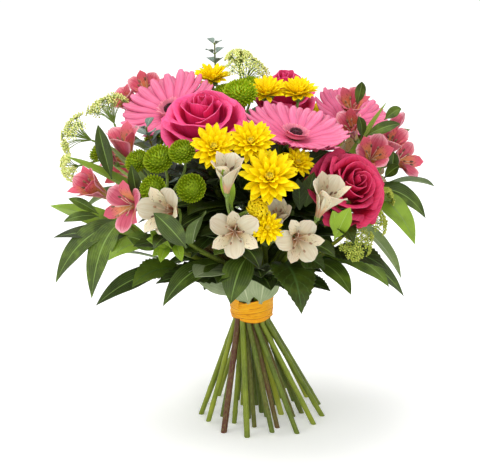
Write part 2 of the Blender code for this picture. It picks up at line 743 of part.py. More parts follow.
def gerbera_bloom(name):
    wide = GERBERAS[name]
    axis = facing(*STEMS[name][2])
    draw = random.Random(len(name))
    place = np.array(STEMS[name][1], float) + axis * CLEAR
    outer, inner = [], []
    for _ in range(GERBERA_PETALS):
        reach = wide / 2 * draw.uniform(0.93, 1.0)
        lift = draw.uniform(-1.5, 1.5)
        outer.append(((15, 5.5, 0), (0.72 * reach, 13.5 + lift, 0.104 * wide / 2),
                      (reach, 19.5 + 1.5 * lift, 0.058 * wide / 2)))
        inner.append(((11.5, 8.0, 0), (15.5, 9.4, 0), (0.46 * reach, 13.5, 0)))
    petals = fuse(name + "_petals", [rosette(place, axis, (outer, inner), 0, 8, 1.3)], "gerbera_pink")
    profile = [(8 + CLEAR, 0), (9.4 + CLEAR, 5.5), (11.8, 7.5), (14.2, 5.5), (13.0, 0)]
    eye = fuse(name + "_eye", [turned(place, axis, profile, 10)], "gerbera_eye")
    return petals, eye


def mum_head(place, axis, wide, seed):
    """A spray chrysanthemum head: two rows of pointed petals round a small dome, or a bud."""
    draw = random.Random(seed)
    reach = wide / 2
    if wide < 20:
        return turned(place, axis, [(-0.4 * wide, 0), (-0.2 * wide, 0.4 * wide), (0.25 * wide, 0.5 * wide),
                                    (0.5 * wide, 0)], 7)
    count = 12 if wide > 50 else 10
    outer, inner = [], []
    for _ in range(count):
        far = reach * draw.uniform(0.90, 1.0)
        lift = draw.uniform(-0.05, 0.05) * reach
        outer.append(((0.54 * reach, 0, 0), (0.76 * far, 0.14 * reach + lift, 2.3 * 0.76 * reach / count),
                      (far, 0.12 * reach + 1.5 * lift, 0)))
        inner.append(((0.44 * reach, 0.20 * reach, 0), (0.52 * far, 0.34 * reach, 0),
                      (0.72 * far, 0.44 * reach + lift, 0)))
    return rosette(place, axis, (outer, inner), -0.14 * reach, 0.34 * reach, 0.12 * reach, roll=seed)


def santini_head(place, axis, wide, seed):
    """A button head: a dome whose sides are raised in blunt florets."""
    reach = wide / 2
    made = Solid()
    side, other = frame_of(axis)
    count = 10
    rows = ((-0.30, 0.52, 0.0), (0.04, 0.93, 0.07), (0.40, 0.66, 0.06))
    grid = []
    for i, (along, out, bump) in enumerate(rows):
        ring = []
        for k in range(count):
            turn = 2 * math.pi * k / count + 0.3 * seed
            far = reach * (out + (bump if (k + i) % 2 else -bump))
            radial = math.cos(turn) * side + math.sin(turn) * other
            ring.append(made.add(place + radial * far + axis * along * reach))
        grid.append(ring)
    low = made.add(place - axis * 0.36 * reach)
    high = made.add(place + axis * 0.46 * reach)
    for k in range(count):
        n = (k + 1) % count
        made.tri(low, grid[0][n], grid[0][k])
        for a, b in zip(grid, grid[1:]):
            made.quad(a[k], a[n], b[n], b[k])
        made.tri(high, grid[-1][k], grid[-1][n])
    return made


def floret_pieces(hub, throat, axis, length, opening, roll):
    """An alstroemeria floret: its pedicel, and three broad and three narrow tepals in a funnel. The
    throat is the middle of the flower's mouth."""
    base = throat - axis * length * 0.72
    pieces = [branch(hub, base + axis * 1.5, axis, 1.3, sides=3)]
    if opening == BUD:
        pieces.append(turned(base, axis, [(-1, 0), (4, 3.4), (0.55 * length, 5.4), (0.95 * length, 0)], 6))
        return pieces
    tepals = []
    mouth = length * (0.26 + 0.28 * opening)
    for k in range(6):
        broad = k % 2 == 0
        half = length * (0.22 if broad else 0.14)
        rise = length * (0.98 - 0.28 * opening + (0 if broad else 0.06))
        throat_out, throat_up = 0.36 * mouth + 2, 0.52 * length
        stations = [(3.4, 0.22 * length, 0), (throat_out, throat_up, 0),
                    (0.80 * mouth, 0.90 * rise, half), (1.05 * mouth, rise, 0.3 * half)]
        if opening < OPEN:
            stations[1:3] = [(0.66 * mouth + 1, 0.76 * rise, 0.9 * half)]
        tepals.append(stations)
    pieces.append(rosette(base, axis, (tepals,), 0, 0.26 * length, 1.6, roll=roll))
    return pieces


def cluster_pieces(start, middle, radius, seed):
    """A cluster of an airy umbel: rays that spread from one point, each ending in a small floret."""
    draw = random.Random(seed)
    axis = unit(middle - start)
    spring = middle - axis * 0.9 * radius
    rays = []
    for _ in range(6 if radius > 16 else 5):
        out = radius * draw.uniform(0.5, 0.95)
        along = radius * draw.uniform(0.75, 1.15)
        size = draw.uniform(2.6, 3.6)
        share = 1 - size / math.hypot(out, along)
        rays.append(((1.5, 1.8, 0), (0.5 * out, 0.6 * along, 0.7), (share * out, share * along, size, 1.5 * size),
                     (out, along, 0.5 * size)))
    return [tube([start, spring], [1.4, 1.3], 3), rosette(spring, axis, (rays,), -1.8, 2.6, 1.3)]


def round_leaf(base, out, up, length, width):
    across = unit(np.cross(out, up)) * width / 2
    middle = base + 0.6 * length * out
    return blade([[base], [middle - across, middle, middle + across], [base + out * length]], 1.4)


def eucalyptus_pieces(name):
    pieces = []
    for k in range(5):
        t = 0.72 + 0.068 * k
        base = on_stem(name, t)
        ahead = unit(on_stem(name, min(1, t + 0.02)) - on_stem(name, t - 0.02))
        side, other = frame_of(ahead)
        turn = 1.2 * k
        for sign in (1, -1):
            out = sign * (math.cos(turn) * side + math.sin(turn) * other) + 0.7 * ahead
            pieces.append(round_leaf(base, unit(out), ahead, 16 - 1.5 * k, 13 - 1.2 * k))
    return pieces


# Stems with what grows on them

FLARES = {"rose": (7, 7.5), "gerbera": (8, 8.0), "alstro": (0, 2.3)}


def build_stems():
    for name, (kind, top, _) in STEMS.items():
        pieces = [stem_bar(name, FLARES.get(kind, (0, 0)))]
        colour = "stem_green"
        pieces += leaves_of(name)
        if kind == "mum":
            hub = on_stem(name, 1.0)
            for heads in MUMS.values():
                for owner, place, face, wide in heads:
                    if owner == name:
                        axis = facing(*face)
                        depth = (0.14 * wide / 2 if wide >= 20 else 0.4 * wide) + CLEAR
                        back = np.array(place, float) - axis * depth
                        pieces.append(branch(hub - (0, 0, 3), back, axis, 1.6))
        if kind == "santini":
            hub = on_stem(name, 1.0)
            for k, (place, face, wide) in enumerate(SANTINI[name]):
                axis = facing(*face)
                place = np.array(place, float)
                pieces.append(branch(hub - (0, 0, 3), place, axis, 1.4))
                pieces.append(santini_head(place, axis, wide, k))
            colour = "santini_green"
        if kind == "umbel":
            for k, (middle, radius) in enumerate(UMBELS[name]):
                pieces += cluster_pieces(on_stem(name, 1.0) - (0, 0, 2), np.array(middle, float), radius, k)
            colour = "umbel_green"
        if kind == "eucalyptus":
            pieces += eucalyptus_pieces(name)
            colour = "eucalyptus_grey"
        fuse(name, pieces, colour)


def build_blooms():
    for name in ROSES:
        rose_bloom(name)
    for name in GERBERAS:
        gerbera_bloom(name)
    for node, heads in MUMS.items():
        pieces = []
        for k, (_, place, face, wide) in enumerate(heads):
            pieces.append(mum_head(np.array(place, float), facing(*face), wide, k))
        fuse(node, pieces, "chrysanthemum_yellow")
    for name, florets in FLORETS.items():
        axis = facing(*STEMS[name][2])
        hub = np.array(STEMS[name][1], float) + axis * CLEAR
        pieces = [turned(hub, axis, [(0.5, 0), (0.9, 2.0), (4, 2.6), (6, 0)], 6)]
        for k, (throat, face, length, opening) in enumerate(florets):
            pieces += floret_pieces(hub + axis * 3, np.array(throat, float), facing(*face), length, opening, 0.5 * k)
        fuse(name + "_umbel", pieces, "alstroemeria_pink" if name.startswith("pink") else "alstroemeria_cream")


def build_tie():
    """Crinkled turns of ribbon: a closed ring whose outside goes in and out with the turns."""
    made = Solid()
    rows = 2 * TIE_TURNS + 1
    grid = []
    for k in range(TIE_SIDES):
        turn = 2 * math.pi * k / TIE_SIDES
        slant = 1.6 * math.cos(turn - 0.6)
        column = []
        for i in range(rows):
            z = TIE_LOW + (TIE_HIGH - TIE_LOW) * i / (rows - 1) + slant
            r = TIE_INNER + (TIE_WRAP if i % 2 else 0.75 * TIE_WRAP) + 0.25 * math.sin(3 * turn + 2 * i)
            column.append(made.add((TIE_X + r * math.cos(turn), r * math.sin(turn), z)))
        for z in (TIE_HIGH, TIE_LOW):
            column.append(made.add((TIE_X + TIE_INNER * math.cos(turn), TIE_INNER * math.sin(turn), z + slant)))
        grid.append(column)
    for k in range(TIE_SIDES):
        a, b = grid[k], grid[(k + 1) % TIE_SIDES]
        for i in range(len(a)):
            n = (i + 1) % len(a)
            made.quad(a[i], b[i], b[n], a[n])
    fuse("tie", [made], "tie_orange")


def main():
    for obj in list(bpy.data.objects):
        bpy.data.objects.remove(obj)
    build_stems()
    build_blooms()
    build_tie()


main()
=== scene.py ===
# A spiral hand-tied bouquet, dressed over its solids: every stem, leaf and bloom is made again with
# fine petals, veins and edges. X is to the right, Y away from the viewer, Z up. Sizes in the tables
# are millimetres, and a mesh gets them in metres.

import math
import random

import bpy
import mathutils
import numpy as np
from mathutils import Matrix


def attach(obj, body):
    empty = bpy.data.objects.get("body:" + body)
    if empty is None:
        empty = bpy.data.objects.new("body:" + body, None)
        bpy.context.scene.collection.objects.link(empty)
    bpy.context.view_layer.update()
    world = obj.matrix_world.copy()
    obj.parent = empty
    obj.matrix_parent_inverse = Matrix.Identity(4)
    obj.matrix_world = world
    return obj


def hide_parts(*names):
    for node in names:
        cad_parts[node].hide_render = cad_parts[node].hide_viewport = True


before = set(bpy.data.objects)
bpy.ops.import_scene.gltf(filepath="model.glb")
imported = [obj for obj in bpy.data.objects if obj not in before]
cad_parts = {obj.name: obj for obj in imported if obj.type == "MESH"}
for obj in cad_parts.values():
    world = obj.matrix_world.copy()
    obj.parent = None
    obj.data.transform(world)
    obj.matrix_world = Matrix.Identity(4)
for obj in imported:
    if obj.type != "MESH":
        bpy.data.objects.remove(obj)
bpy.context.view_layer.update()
mm = 0.001

print("stage: tables")

# How the stems are gathered: the tie, the rings of stems inside it, and the spread below and above
bundle = {
    "tieX": 8, "tieLow": 100, "tieHigh": 125, "tieInner": 18.9,
    "rings": ((0, 1), (5.2, 6), (10.4, 11), (15.8, 15)),
    "waist": 97.5, "footSpread": 2.55, "footTwist": 1.25, "footLean": 10, "shortestCut": 9,
    "neck": 128, "headSpread": 0.030, "headTwist": 0.022, "headTurn": math.radians(38),
}
clear = 0.35  # between a stem's end and the bloom that sits on it
barSteps = (0.0, 0.3, 0.55, 0.8, 1.0)  # where the solid stems have their corners
thickness = {
    "rose": 5.4, "gerbera": 5.6, "mum": 4.9, "alstro": 4.9, "santini": 4.7,
    "umbel": 4.6, "eucalyptus": 4.6, "foliage": 4.9,
}

# Each stem: kind, where its top is, and which way the top points (degrees round from the front
# towards +X, then degrees up)
stems = {
    "rose_left": ("rose", (-34, -36, 281), (-8, 66)),
    "rose_right": ("rose", (83, -70, 241), (30, 35)),
    "rose_back": ("rose", (38, 60, 284), (10, 75)),
    "rose_rear": ("rose", (8, 82, 238), (178, 38)),
    "gerbera_left": ("gerbera", (-66, 36, 289), (-38, 60)),
    "gerbera_right": ("gerbera", (45, -51, 286), (50, 76)),
    "gerbera_back": ("gerbera", (101, 78, 269), (50, 62)),
    "mum_front": ("mum", (15, -72, 238), (5, 50)),
    "mum_low": ("mum", (-8, -74, 224), (-5, 50)),
    "mum_top": ("mum", (35, 14, 274), (0, 80)),
    "mum_left": ("mum", (-27, 65, 303), (-10, 70)),
    "mum_rear": ("mum", (48, 84, 240), (160, 50)),
    "pink_left": ("alstro", (-112, -58, 220), (-55, 35)),
    "pink_high": ("alstro", (-98, 6, 248), (-60, 60)),
    "pink_peak": ("alstro", (-92, 80, 268), (-40, 75)),
    "pink_back": ("alstro", (112, 20, 258), (70, 60)),
    "pink_right": ("alstro", (122, -18, 242), (75, 40)),
    "pink_rear": ("alstro", (-88, 62, 214), (240, 30)),
    "cream_left": ("alstro", (-56, -92, 216), (-20, 30)),
    "cream_front": ("alstro", (-8, -104, 220), (0, 30)),
    "cream_right": ("alstro", (50, -96, 214), (20, 30)),
    "cream_rear": ("alstro", (86, 62, 206), (140, 30)),
    "santini_left": ("santini", (-72, -56, 228), (-50, 50)),
    "santini_top": ("santini", (-8, 14, 274), (0, 80)),
    "santini_rear": ("santini", (-56, 78, 226), (215, 45)),
    "umbel_top": ("umbel", (0, 64, 306), (0, 85)),
    "umbel_left": ("umbel", (-112, 26, 258), (-80, 45)),
    "umbel_right": ("umbel", (92, -56, 202), (50, 25)),
    "umbel_rear": ("umbel", (-24, 108, 206), (188, 25)),
    "eucalyptus_top": ("eucalyptus", (-28, 96, 349), (0, 88)),
    "eucalyptus_left": ("eucalyptus", (-90, -14, 292), (-60, 70)),
    "foliage_left": ("foliage", (-62, -40, 166), (-60, 20)),
    "foliage_right": ("foliage", (76, -50, 184), (50, 20)),
}

# Rose blooms: colour, diameter, height
roses = {
    "rose_left": ("hot_pink_rose", 74, 50),
    "rose_right": ("crimson_rose", 67, 47),
    "rose_back": ("hot_pink_rose", 56, 44),
    "rose_rear": ("hot_pink_rose", 62, 46),
}
gerberas = {"gerbera_left": 96, "gerbera_right": 98, "gerbera_back": 84}

# Heads on branched sprays: stem, centre of the head, facing, diameter
chrysanthemums = {
    "mum_front_heads": (
        ("mum_front", (22, -123, 273), (0, 38), 58),
        ("mum_front", (6, -102, 300), (0, 38), 45),
        ("mum_low", (-26, -105, 296), (0, 38), 46),
        ("mum_low", (12, -136, 251), (-5, 20), 18),
        ("mum_low", (20, -138, 234), (5, 24), 32),
    ),
    "mum_right_head": (("mum_front", (47, -89, 277), (15, 52), 34),),
    "mum_top_heads": (
        ("mum_top", (22, 17, 315), (0, 74), 42),
        ("mum_top", (51, 17, 315), (0, 74), 42),
    ),
    "mum_left_head": (("mum_left", (-30, 66, 318), (-10, 74), 40),),
    "mum_rear_heads": (
        ("mum_rear", (46, 100, 284), (160, 45), 46),
        ("mum_rear", (70, 110, 267), (160, 45), 46),
        ("mum_rear", (44, 121, 264), (160, 30), 19),
    ),
}
santini = {
    "santini_left": (
        ((-136, 10, 262), (-80, 45), 20), ((-96, -62, 273), (-50, 45), 22),
        ((-75, -84, 281), (-35, 50), 27), ((-80, -100, 258), (-35, 25), 24),
        ((-54, -92, 290), (-20, 55), 23), ((-46, -108, 261), (-20, 30), 25),
    ),
    "santini_top": (
        ((-3, -3, 322), (0, 65), 30), ((8, 41, 319), (10, 75), 22), ((-18, 52, 310), (-10, 75), 20),
    ),
    "santini_rear": (
        ((-54, 98, 280), (210, 50), 26), ((-62, 118, 254), (205, 30), 24), ((-88, 102, 250), (225, 30), 24),
    ),
}

# Alstroemeria umbels: for each floret its throat, its facing, its length and how far it opens
florets = {
    "pink_left": (
        ((-143, -46, 246), (-55, 35), 44, 0.35), ((-108, -96, 241), (-40, 10), 42, 1.0),
    ),
    "pink_high": (
        ((-110, -28, 285), (-50, 75), 42, 0.35), ((-130, -14, 268), (-70, 45), 26, 0.0),
    ),
    "pink_peak": (
        ((-96, 82, 311), (-20, 60), 38, 0.6), ((-116, 70, 298), (-60, 45), 36, 0.35),
    ),
    "pink_back": (
        ((102, 22, 308), (0, 60), 38, 0.6), ((98, -2, 292), (-30, 50), 36, 0.35),
        ((148, 30, 290), (70, 50), 28, 0.0),
    ),
    "pink_right": (
        ((118, -44, 276), (10, 40), 40, 0.6), ((155, 6, 258), (60, 25), 40, 0.8),
        ((138, -8, 280), (30, 60), 38, 0.35),
    ),
    "pink_rear": (((-126, 60, 252), (250, 40), 42, 1.0), ((-120, 96, 222), (225, 10), 42, 1.0)),
    "cream_left": (((-73, -124, 245), (-30, 15), 44, 0.8),),
    "cream_front": (((-14, -141, 289), (5, 75), 39, 0.35), ((-9, -149, 232), (-4, 8), 40, 1.0)),
    "cream_right": (
        ((50, -142, 223), (15, 5), 39, 1.0), ((73, -136, 266), (35, 60), 46, 0.35),
        ((30, -118, 242), (8, 62), 32, 0.35),
    ),
    "cream_rear": (((108, 102, 240), (140, 30), 42, 1.0), ((128, 76, 228), (120, 15), 42, 1.0)),
}

# Airy umbels: stem, then the middle of each cluster and its radius
umbels = {
    "umbel_top": (((4, 60, 336), 22), ((-6, 76, 342), 14)),
    "umbel_left": (((-164, 20, 279), 22), ((-131, 42, 303), 22), ((-166, -8, 250), 14)),
    "umbel_right": (((102, -96, 206), 14), ((122, -64, 222), 14), ((132, -36, 236), 10)),
    "umbel_rear": (((-30, 140, 216), 18), ((6, 144, 208), 14)),
}

# Leaves: the stem that bears each one, how far up the stem it starts (0 at the tie, 1 at the top), its
# tip, its width, how far its midrib arches, and its form
leaves = (
    # the left rim and the whorl under the left alstroemeria
    ("pink_high", 0.58, (-162, -36, 270), 20, 4, "lance"),
    ("pink_left", 0.68, (-180, -26, 220), 19, 5, "lance"),
    ("pink_left", 0.62, (-175, -48, 196), 18, 9, "lance"),
    ("pink_left", 0.93, (-174, -52, 153), 24, 14, "lance"),
    ("pink_left", 0.96, (-139, -74, 146), 27, 13, "lance"),
    ("pink_left", 0.60, (-122, -84, 186), 24, 10, "lance"),
    ("pink_high", 0.62, (-130, -48, 290), 16, 4, "lance"),
    # the collar over the tie
    ("foliage_left", 0.85, (-102, -72, 156), 30, 10, "toothed"),
    ("foliage_left", 0.97, (-136, -66, 136), 21, 8, "lance"),
    ("foliage_left", 0.95, (-150, 10, 150), 22, 14, "lance"),
    ("cream_left", 0.45, (-73, -92, 145), 22, 12, "lance"),
    ("cream_left", 0.28, (-44, -84, 170), 34, 6, "broad"),
    ("cream_front", 0.55, (-12, -89, 146), 30, 8, "lance"),
    ("cream_front", 0.12, (20, -72, 172), 32, 4, "broad"),
    ("cream_left", 0.20, (-80, -82, 163), 32, 8, "toothed"),
    ("foliage_right", 0.12, (80, -66, 150), 28, 6, "toothed"),
    ("cream_right", 0.45, (52, -104, 142), 42, 14, "toothed"),
    ("foliage_right", 0.75, (97, -92, 156), 20, 8, "lance"),
    ("foliage_right", 0.90, (134, -60, 152), 22, 12, "lance"),
    ("foliage_right", 0.98, (151, -30, 132), 22, 12, "lance"),
    ("pink_right", 0.60, (152, 10, 136), 24, 14, "lance"),
    # the right rim
    ("pink_right", 0.90, (157, -56, 192), 24, 10, "lance"),
    ("pink_right", 0.93, (170, -20, 206), 20, 10, "lance"),
    ("pink_right", 0.86, (180, 4, 230), 22, 10, "lance"),
    ("pink_back", 0.95, (156, 8, 284), 15, 6, "lance"),
    ("pink_back", 0.58, (136, 42, 302), 15, 4, "lance"),
    # between the flowers in front
    ("cream_left", 0.80, (-36, -130, 242), 24, 6, "broad"),
    ("cream_left", 0.92, (-78, -136, 214), 20, 8, "lance"),
    ("cream_left", 0.66, (-98, -104, 206), 26, 8, "toothed"),
    ("rose_left", 0.52, (-50, -82, 228), 30, 8, "toothed"),
    ("rose_left", 0.70, (-14, -86, 262), 26, 6, "toothed"),
    ("mum_front", 0.70, (44, -108, 236), 28, 6, "toothed"),
    ("mum_low", 0.70, (-38, -112, 218), 26, 6, "toothed"),
    ("rose_right", 0.78, (96, -128, 216), 28, 8, "toothed"),
    ("foliage_right", 0.96, (128, -98, 182), 28, 8, "toothed"),
    ("cream_right", 0.80, (80, -128, 204), 20, 8, "lance"),
    ("cream_front", 0.70, (14, -136, 196), 20, 8, "lance"),
    # deep between the stems, seen through the gaps
    ("santini_top", 0.50, (-4, -54, 254), 26, 4, "toothed"),
    ("mum_top", 0.55, (52, -22, 244), 26, 4, "toothed"),
    ("mum_low", 0.42, (-34, -92, 212), 24, 4, "lance"),
    ("mum_front", 0.45, (38, -92, 208), 26, 4, "lance"),
    ("cream_front", 0.62, (-26, -122, 204), 22, 6, "lance"),
    ("rose_right", 0.45, (94, -84, 208), 26, 6, "lance"),
    ("santini_left", 0.62, (-92, -74, 226), 26, 4, "lance"),
    ("pink_high", 0.50, (-106, -30, 222), 26, 4, "lance"),
    ("pink_back", 0.52, (112, -10, 222), 26, 4, "lance"),
    ("rose_back", 0.55, (74, 26, 250), 26, 4, "toothed"),
    ("pink_peak", 0.55, (-104, 44, 240), 24, 4, "lance"),
    ("pink_peak", 0.78, (-134, 90, 262), 22, 4, "lance"),
    ("mum_top", 0.80, (62, -6, 286), 22, 2, "toothed"),
    ("santini_top", 0.84, (-10, -34, 292), 22, 2, "toothed"),
    ("umbel_top", 0.80, (20, 88, 290), 22, 2, "toothed"),
    ("mum_left", 0.75, (-44, 70, 284), 20, 2, "toothed"),
    ("santini_rear", 0.60, (-44, 104, 204), 26, 6, "lance"),
    ("umbel_rear", 0.80, (-52, 140, 190), 22, 8, "lance"),
    ("umbel_rear", 0.90, (20, 155, 184), 20, 8, "lance"),
    # the rear
    ("pink_rear", 0.90, (-156, 60, 190), 20, 12, "lance"),
    ("pink_rear", 0.80, (-130, 104, 160), 22, 12, "lance"),
    ("pink_rear", 0.50, (-70, 112, 142), 22, 12, "lance"),
    ("pink_rear", 0.70, (-150, 26, 216), 20, 10, "lance"),
    ("rose_rear", 0.55, (-10, 126, 166), 34, 10, "toothed"),
    ("rose_rear", 0.75, (36, 132, 204), 28, 8, "toothed"),
    ("mum_rear", 0.50, (44, 126, 150), 28, 10, "toothed"),
    ("mum_rear", 0.75, (76, 130, 206), 26, 8, "toothed"),
    ("cream_rear", 0.90, (154, 66, 186), 20, 12, "lance"),
    ("cream_rear", 0.80, (124, 112, 166), 22, 12, "lance"),
    ("cream_rear", 0.45, (88, 100, 136), 22, 12, "lance"),
    ("cream_rear", 0.70, (150, 36, 214), 20, 10, "lance"),
)


# Geometry that the pieces share

goldenTurn = 2.39996  # radians from one copy to the next, which spreads any number of them evenly


def unit(v):
    return v / np.linalg.norm(v)


def facing(around, up):
    a, e = math.radians(around), math.radians(up)
    return np.array((math.cos(e) * math.sin(a), -math.cos(e) * math.cos(a), math.sin(e)))


def frameOf(axis):
    # two unit vectors square to the axis; the second points as far up as it can
    side = np.cross(axis, (0.0, 0.0, 1.0))
    if np.linalg.norm(side) < 0.05:
        side = np.array((1.0, 0.0, 0.0))
    side = unit(side)
    return side, np.cross(side, axis)


def spoke(axis, turn):
    # the direction square to the axis at this turn round it
    side, other = frameOf(axis)
    return math.cos(turn) * side + math.sin(turn) * other


def bezier(a, b, c, d, t):
    t = np.asarray(t, float)[:, None]
    return (1 - t) ** 3 * a + 3 * t * (1 - t) ** 2 * b + 3 * t * t * (1 - t) * c + t**3 * d


def smooth(t, marks, values):
    # a soft curve through the values at the marks; t is the places on it, or how many there are
    t = np.linspace(0, 1, t) if isinstance(t, int) else t
    marks, values = np.asarray(marks, float), np.asarray(values, float)
    slopes = np.gradient(values, marks, axis=0)
    i = np.clip(np.searchsorted(marks, t) - 1, 0, len(marks) - 2)
    gap = marks[i + 1] - marks[i]
    s = (t - marks[i]) / gap
    if values.ndim > 1:
        gap, s = gap[:, None], s[:, None]
    return ((2 * s**3 - 3 * s**2 + 1) * values[i] + (s**3 - 2 * s**2 + s) * gap * slopes[i]
            + (3 * s**2 - 2 * s**3) * values[i + 1] + (s**3 - s**2) * gap * slopes[i + 1])


def evenly(values):
    # marks for the values by the length between them, from 0 to 1
    steps = np.linalg.norm(np.diff(np.asarray(values, float), axis=0), axis=1)
    return np.concatenate([[0], np.cumsum(steps)]) / steps.sum()


def slotPlaces():
    # each stem's place in the tie, in the order of the heads round the bundle
    polar = {}
    for name, (_, top, _) in stems.items():
        x, y = top[0] - bundle["tieX"], top[1]
        polar[name] = (math.hypot(x, y) + 0.5 * max(0, 300 - top[2]), math.atan2(y, x))
    order = sorted(polar, key=lambda name: polar[name][0])
    places = {}
    for radius, count in bundle["rings"]:
        members = sorted(order[:count], key=lambda name: polar[name][1])
        order = order[count:]
        step = 2 * math.pi / count
        start = sum(polar[name][1] - k * step for k, name in enumerate(members)) / count
        for k, name in enumerate(members):
            turn = start + k * step + bundle["headTurn"]
            places[name] = radius * complex(math.cos(turn), math.sin(turn))
    return places


def stemPaths():
    # for each stem its foot, its place at the waist, and the four points that guide its upper curve
    draw = random.Random(7)
    paths = {}
    waist, tieX = bundle["waist"], bundle["tieX"]
    for k, (name, place) in enumerate(slotPlaces().items()):
        top = np.array(stems[name][1], float)
        end = facing(*stems[name][2])
        footZ = 0.0 if k % 2 == 0 else draw.uniform(1, bundle["shortestCut"])
        s = (waist - footZ) / waist
        foot = place * (1 + s * complex(bundle["footSpread"], bundle["footTwist"])) + s * bundle["footLean"]
        neck = np.array((tieX + place.real, place.imag, bundle["neck"]))
        run = place * complex(bundle["headSpread"], -bundle["headTwist"])
        rise = unit(np.array((run.real, run.imag, 1.0)))
        reach = np.linalg.norm(top - neck)
        paths[name] = (
            np.array((tieX + foot.real, foot.imag, footZ)),
            np.array((tieX + place.real, place.imag, waist)),
            (neck, neck + 0.38 * reach * rise, top - 0.30 * reach * unit(end + (0, 0, 0.7)), top),
        )
    return paths


paths = stemPaths()


def onStem(name, t):
    return bezier(*paths[name][2], [t])[0]


def seatOf(name):
    # where a bloom sits on its stem, and which way it faces
    axis = facing(*stems[name][2])
    return np.array(stems[name][1], float) + axis * clear, axis


# Modelling by hand: a shape is made once, and read back as arrays to be copied

def readAll(items, key, width, kind=float):
    values = np.empty(len(items) * width, kind)
    items.foreach_get(key, values)
    return values


class Form:
    # a finished object's mesh as arrays; the object is removed
    def __init__(self, obj):
        mesh = obj.data
        self.points = readAll(mesh.vertices, "co", 3).reshape(-1, 3)
        self.loops = readAll(mesh.loops, "vertex_index", 1, np.int32)
        self.totals = readAll(mesh.polygons, "loop_total", 1, np.int32)
        layer = mesh.uv_layers.active
        self.uvs = (readAll(layer.uv, "vector", 2) if layer else np.zeros(len(self.loops) * 2)).reshape(-1, 2)
        self.across = self.points[:, 0]            # -1 to 1 across a blade, less where it is narrow
        self.along = (self.points[:, 1] + 1) / 2   # 0 at its root, 1 at its tip
        bpy.data.objects.remove(obj)


bpy.context.tool_settings.mesh_select_mode = (True, False, False)


def primitive(kind, **settings):
    # a Blender primitive, made with nothing else selected
    bpy.ops.object.select_all(action="DESELECT")
    getattr(bpy.ops.mesh, f"primitive_{kind}_add")(**settings)
    return bpy.context.active_object


def put(name, data):
    # a new object in the scene
    obj = bpy.data.objects.new(name, data)
    bpy.context.scene.collection.objects.link(obj)
    return obj


def choose(obj):
    bpy.ops.object.select_all(action="DESELECT")
    obj.select_set(True)
    bpy.context.view_layer.objects.active = obj


def rowsOf(obj, axis):
    return sorted({round(v.co[axis], 4) for v in obj.data.vertices})


def resizeRow(obj, axis, at, scale):
    # scales the points that lie at one place along an axis
    mesh = obj.data
    for items in (mesh.polygons, mesh.edges):
        items.foreach_set("select", np.zeros(len(items), bool))
    mesh.vertices.foreach_set("select", np.array([abs(v.co[axis] - at) < 0.001 for v in mesh.vertices], bool))
    centre = [0, 0, 0]
    centre[axis] = at
    bpy.ops.object.mode_set(mode="EDIT")
    bpy.ops.transform.resize(value=scale, center_override=centre)
    bpy.ops.object.mode_set(mode="OBJECT")


def bladeForm(columns, rows, *outline):
    # a flat blade from a grid: each row of points is drawn in to the outline, and a tip is closed
    blade = primitive("grid", x_subdivisions=columns, y_subdivisions=rows, size=2)
    for y in rowsOf(blade, 1):
        half = float(np.clip(smooth(np.array([(y + 1) / 2]), *zip(*outline))[0], 0, 1.1))
        resizeRow(blade, 1, y, (half, 1, 1))
    bpy.ops.object.mode_set(mode="EDIT")
    bpy.ops.mesh.select_all(action="SELECT")
    bpy.ops.mesh.remove_doubles(threshold=0.004)
    bpy.ops.object.mode_set(mode="OBJECT")
    return Form(blade)


def budForm(sides, rings, ends=1.0):
    # a small closed bud from a sphere, drawn in towards its ends
    bud = primitive("uv_sphere", segments=sides, ring_count=rings, radius=1)
    for z in rowsOf(bud, 2)[1:-1]:
        wide = float(np.interp(z, (-1, 0, 1), (ends, 1, ends)))
        resizeRow(bud, 2, z, (wide, wide, 1))
    return Form(bud)


def runsObject(runs, fineness):
    # round wires along many runs of points, each with its own radii, from one bevelled curve
    curve = bpy.data.curves.new("runs", "CURVE")
    curve.dimensions = "3D"
    curve.bevel_depth = 1
    curve.bevel_resolution = fineness
    curve.use_fill_caps = True
    for points, radii in runs:
        spline = curve.splines.new("POLY")
        spline.points.add(len(points) - 1)
        spline.points.foreach_set("co", np.column_stack([points, np.ones(len(points))]).ravel())
        spline.points.foreach_set("radius", np.broadcast_to(radii, len(points)).astype(float))
    choose(put("runs", curve))
    bpy.ops.object.convert(target="MESH")
    return bpy.context.active_object


def lay(form, path, side, width, raised, twist, roll):
    # a copy of a flat blade, laid on a curved midrib; side points across it, and it is turned by roll
    t = np.linspace(0, 1, len(path))
    ahead = np.gradient(path, axis=0)
    ahead /= np.linalg.norm(ahead, axis=1)[:, None]
    across = side - ahead * (ahead @ side)[:, None]
    across /= np.linalg.norm(across, axis=1)[:, None]
    face = np.cross(across, ahead)
    turn = (roll + twist * t)[:, None]
    across, face = across * np.cos(turn) + face * np.sin(turn), face * np.cos(turn) - across * np.sin(turn)
    middle, across, face = (
        np.stack([np.interp(form.along, t, block[:, k]) for k in range(3)], 1)
        for block in (path, across, face))
    raised = np.broadcast_to(raised, form.along.shape)
    return middle + across * (form.across * width / 2)[:, None] + face * raised[:, None]


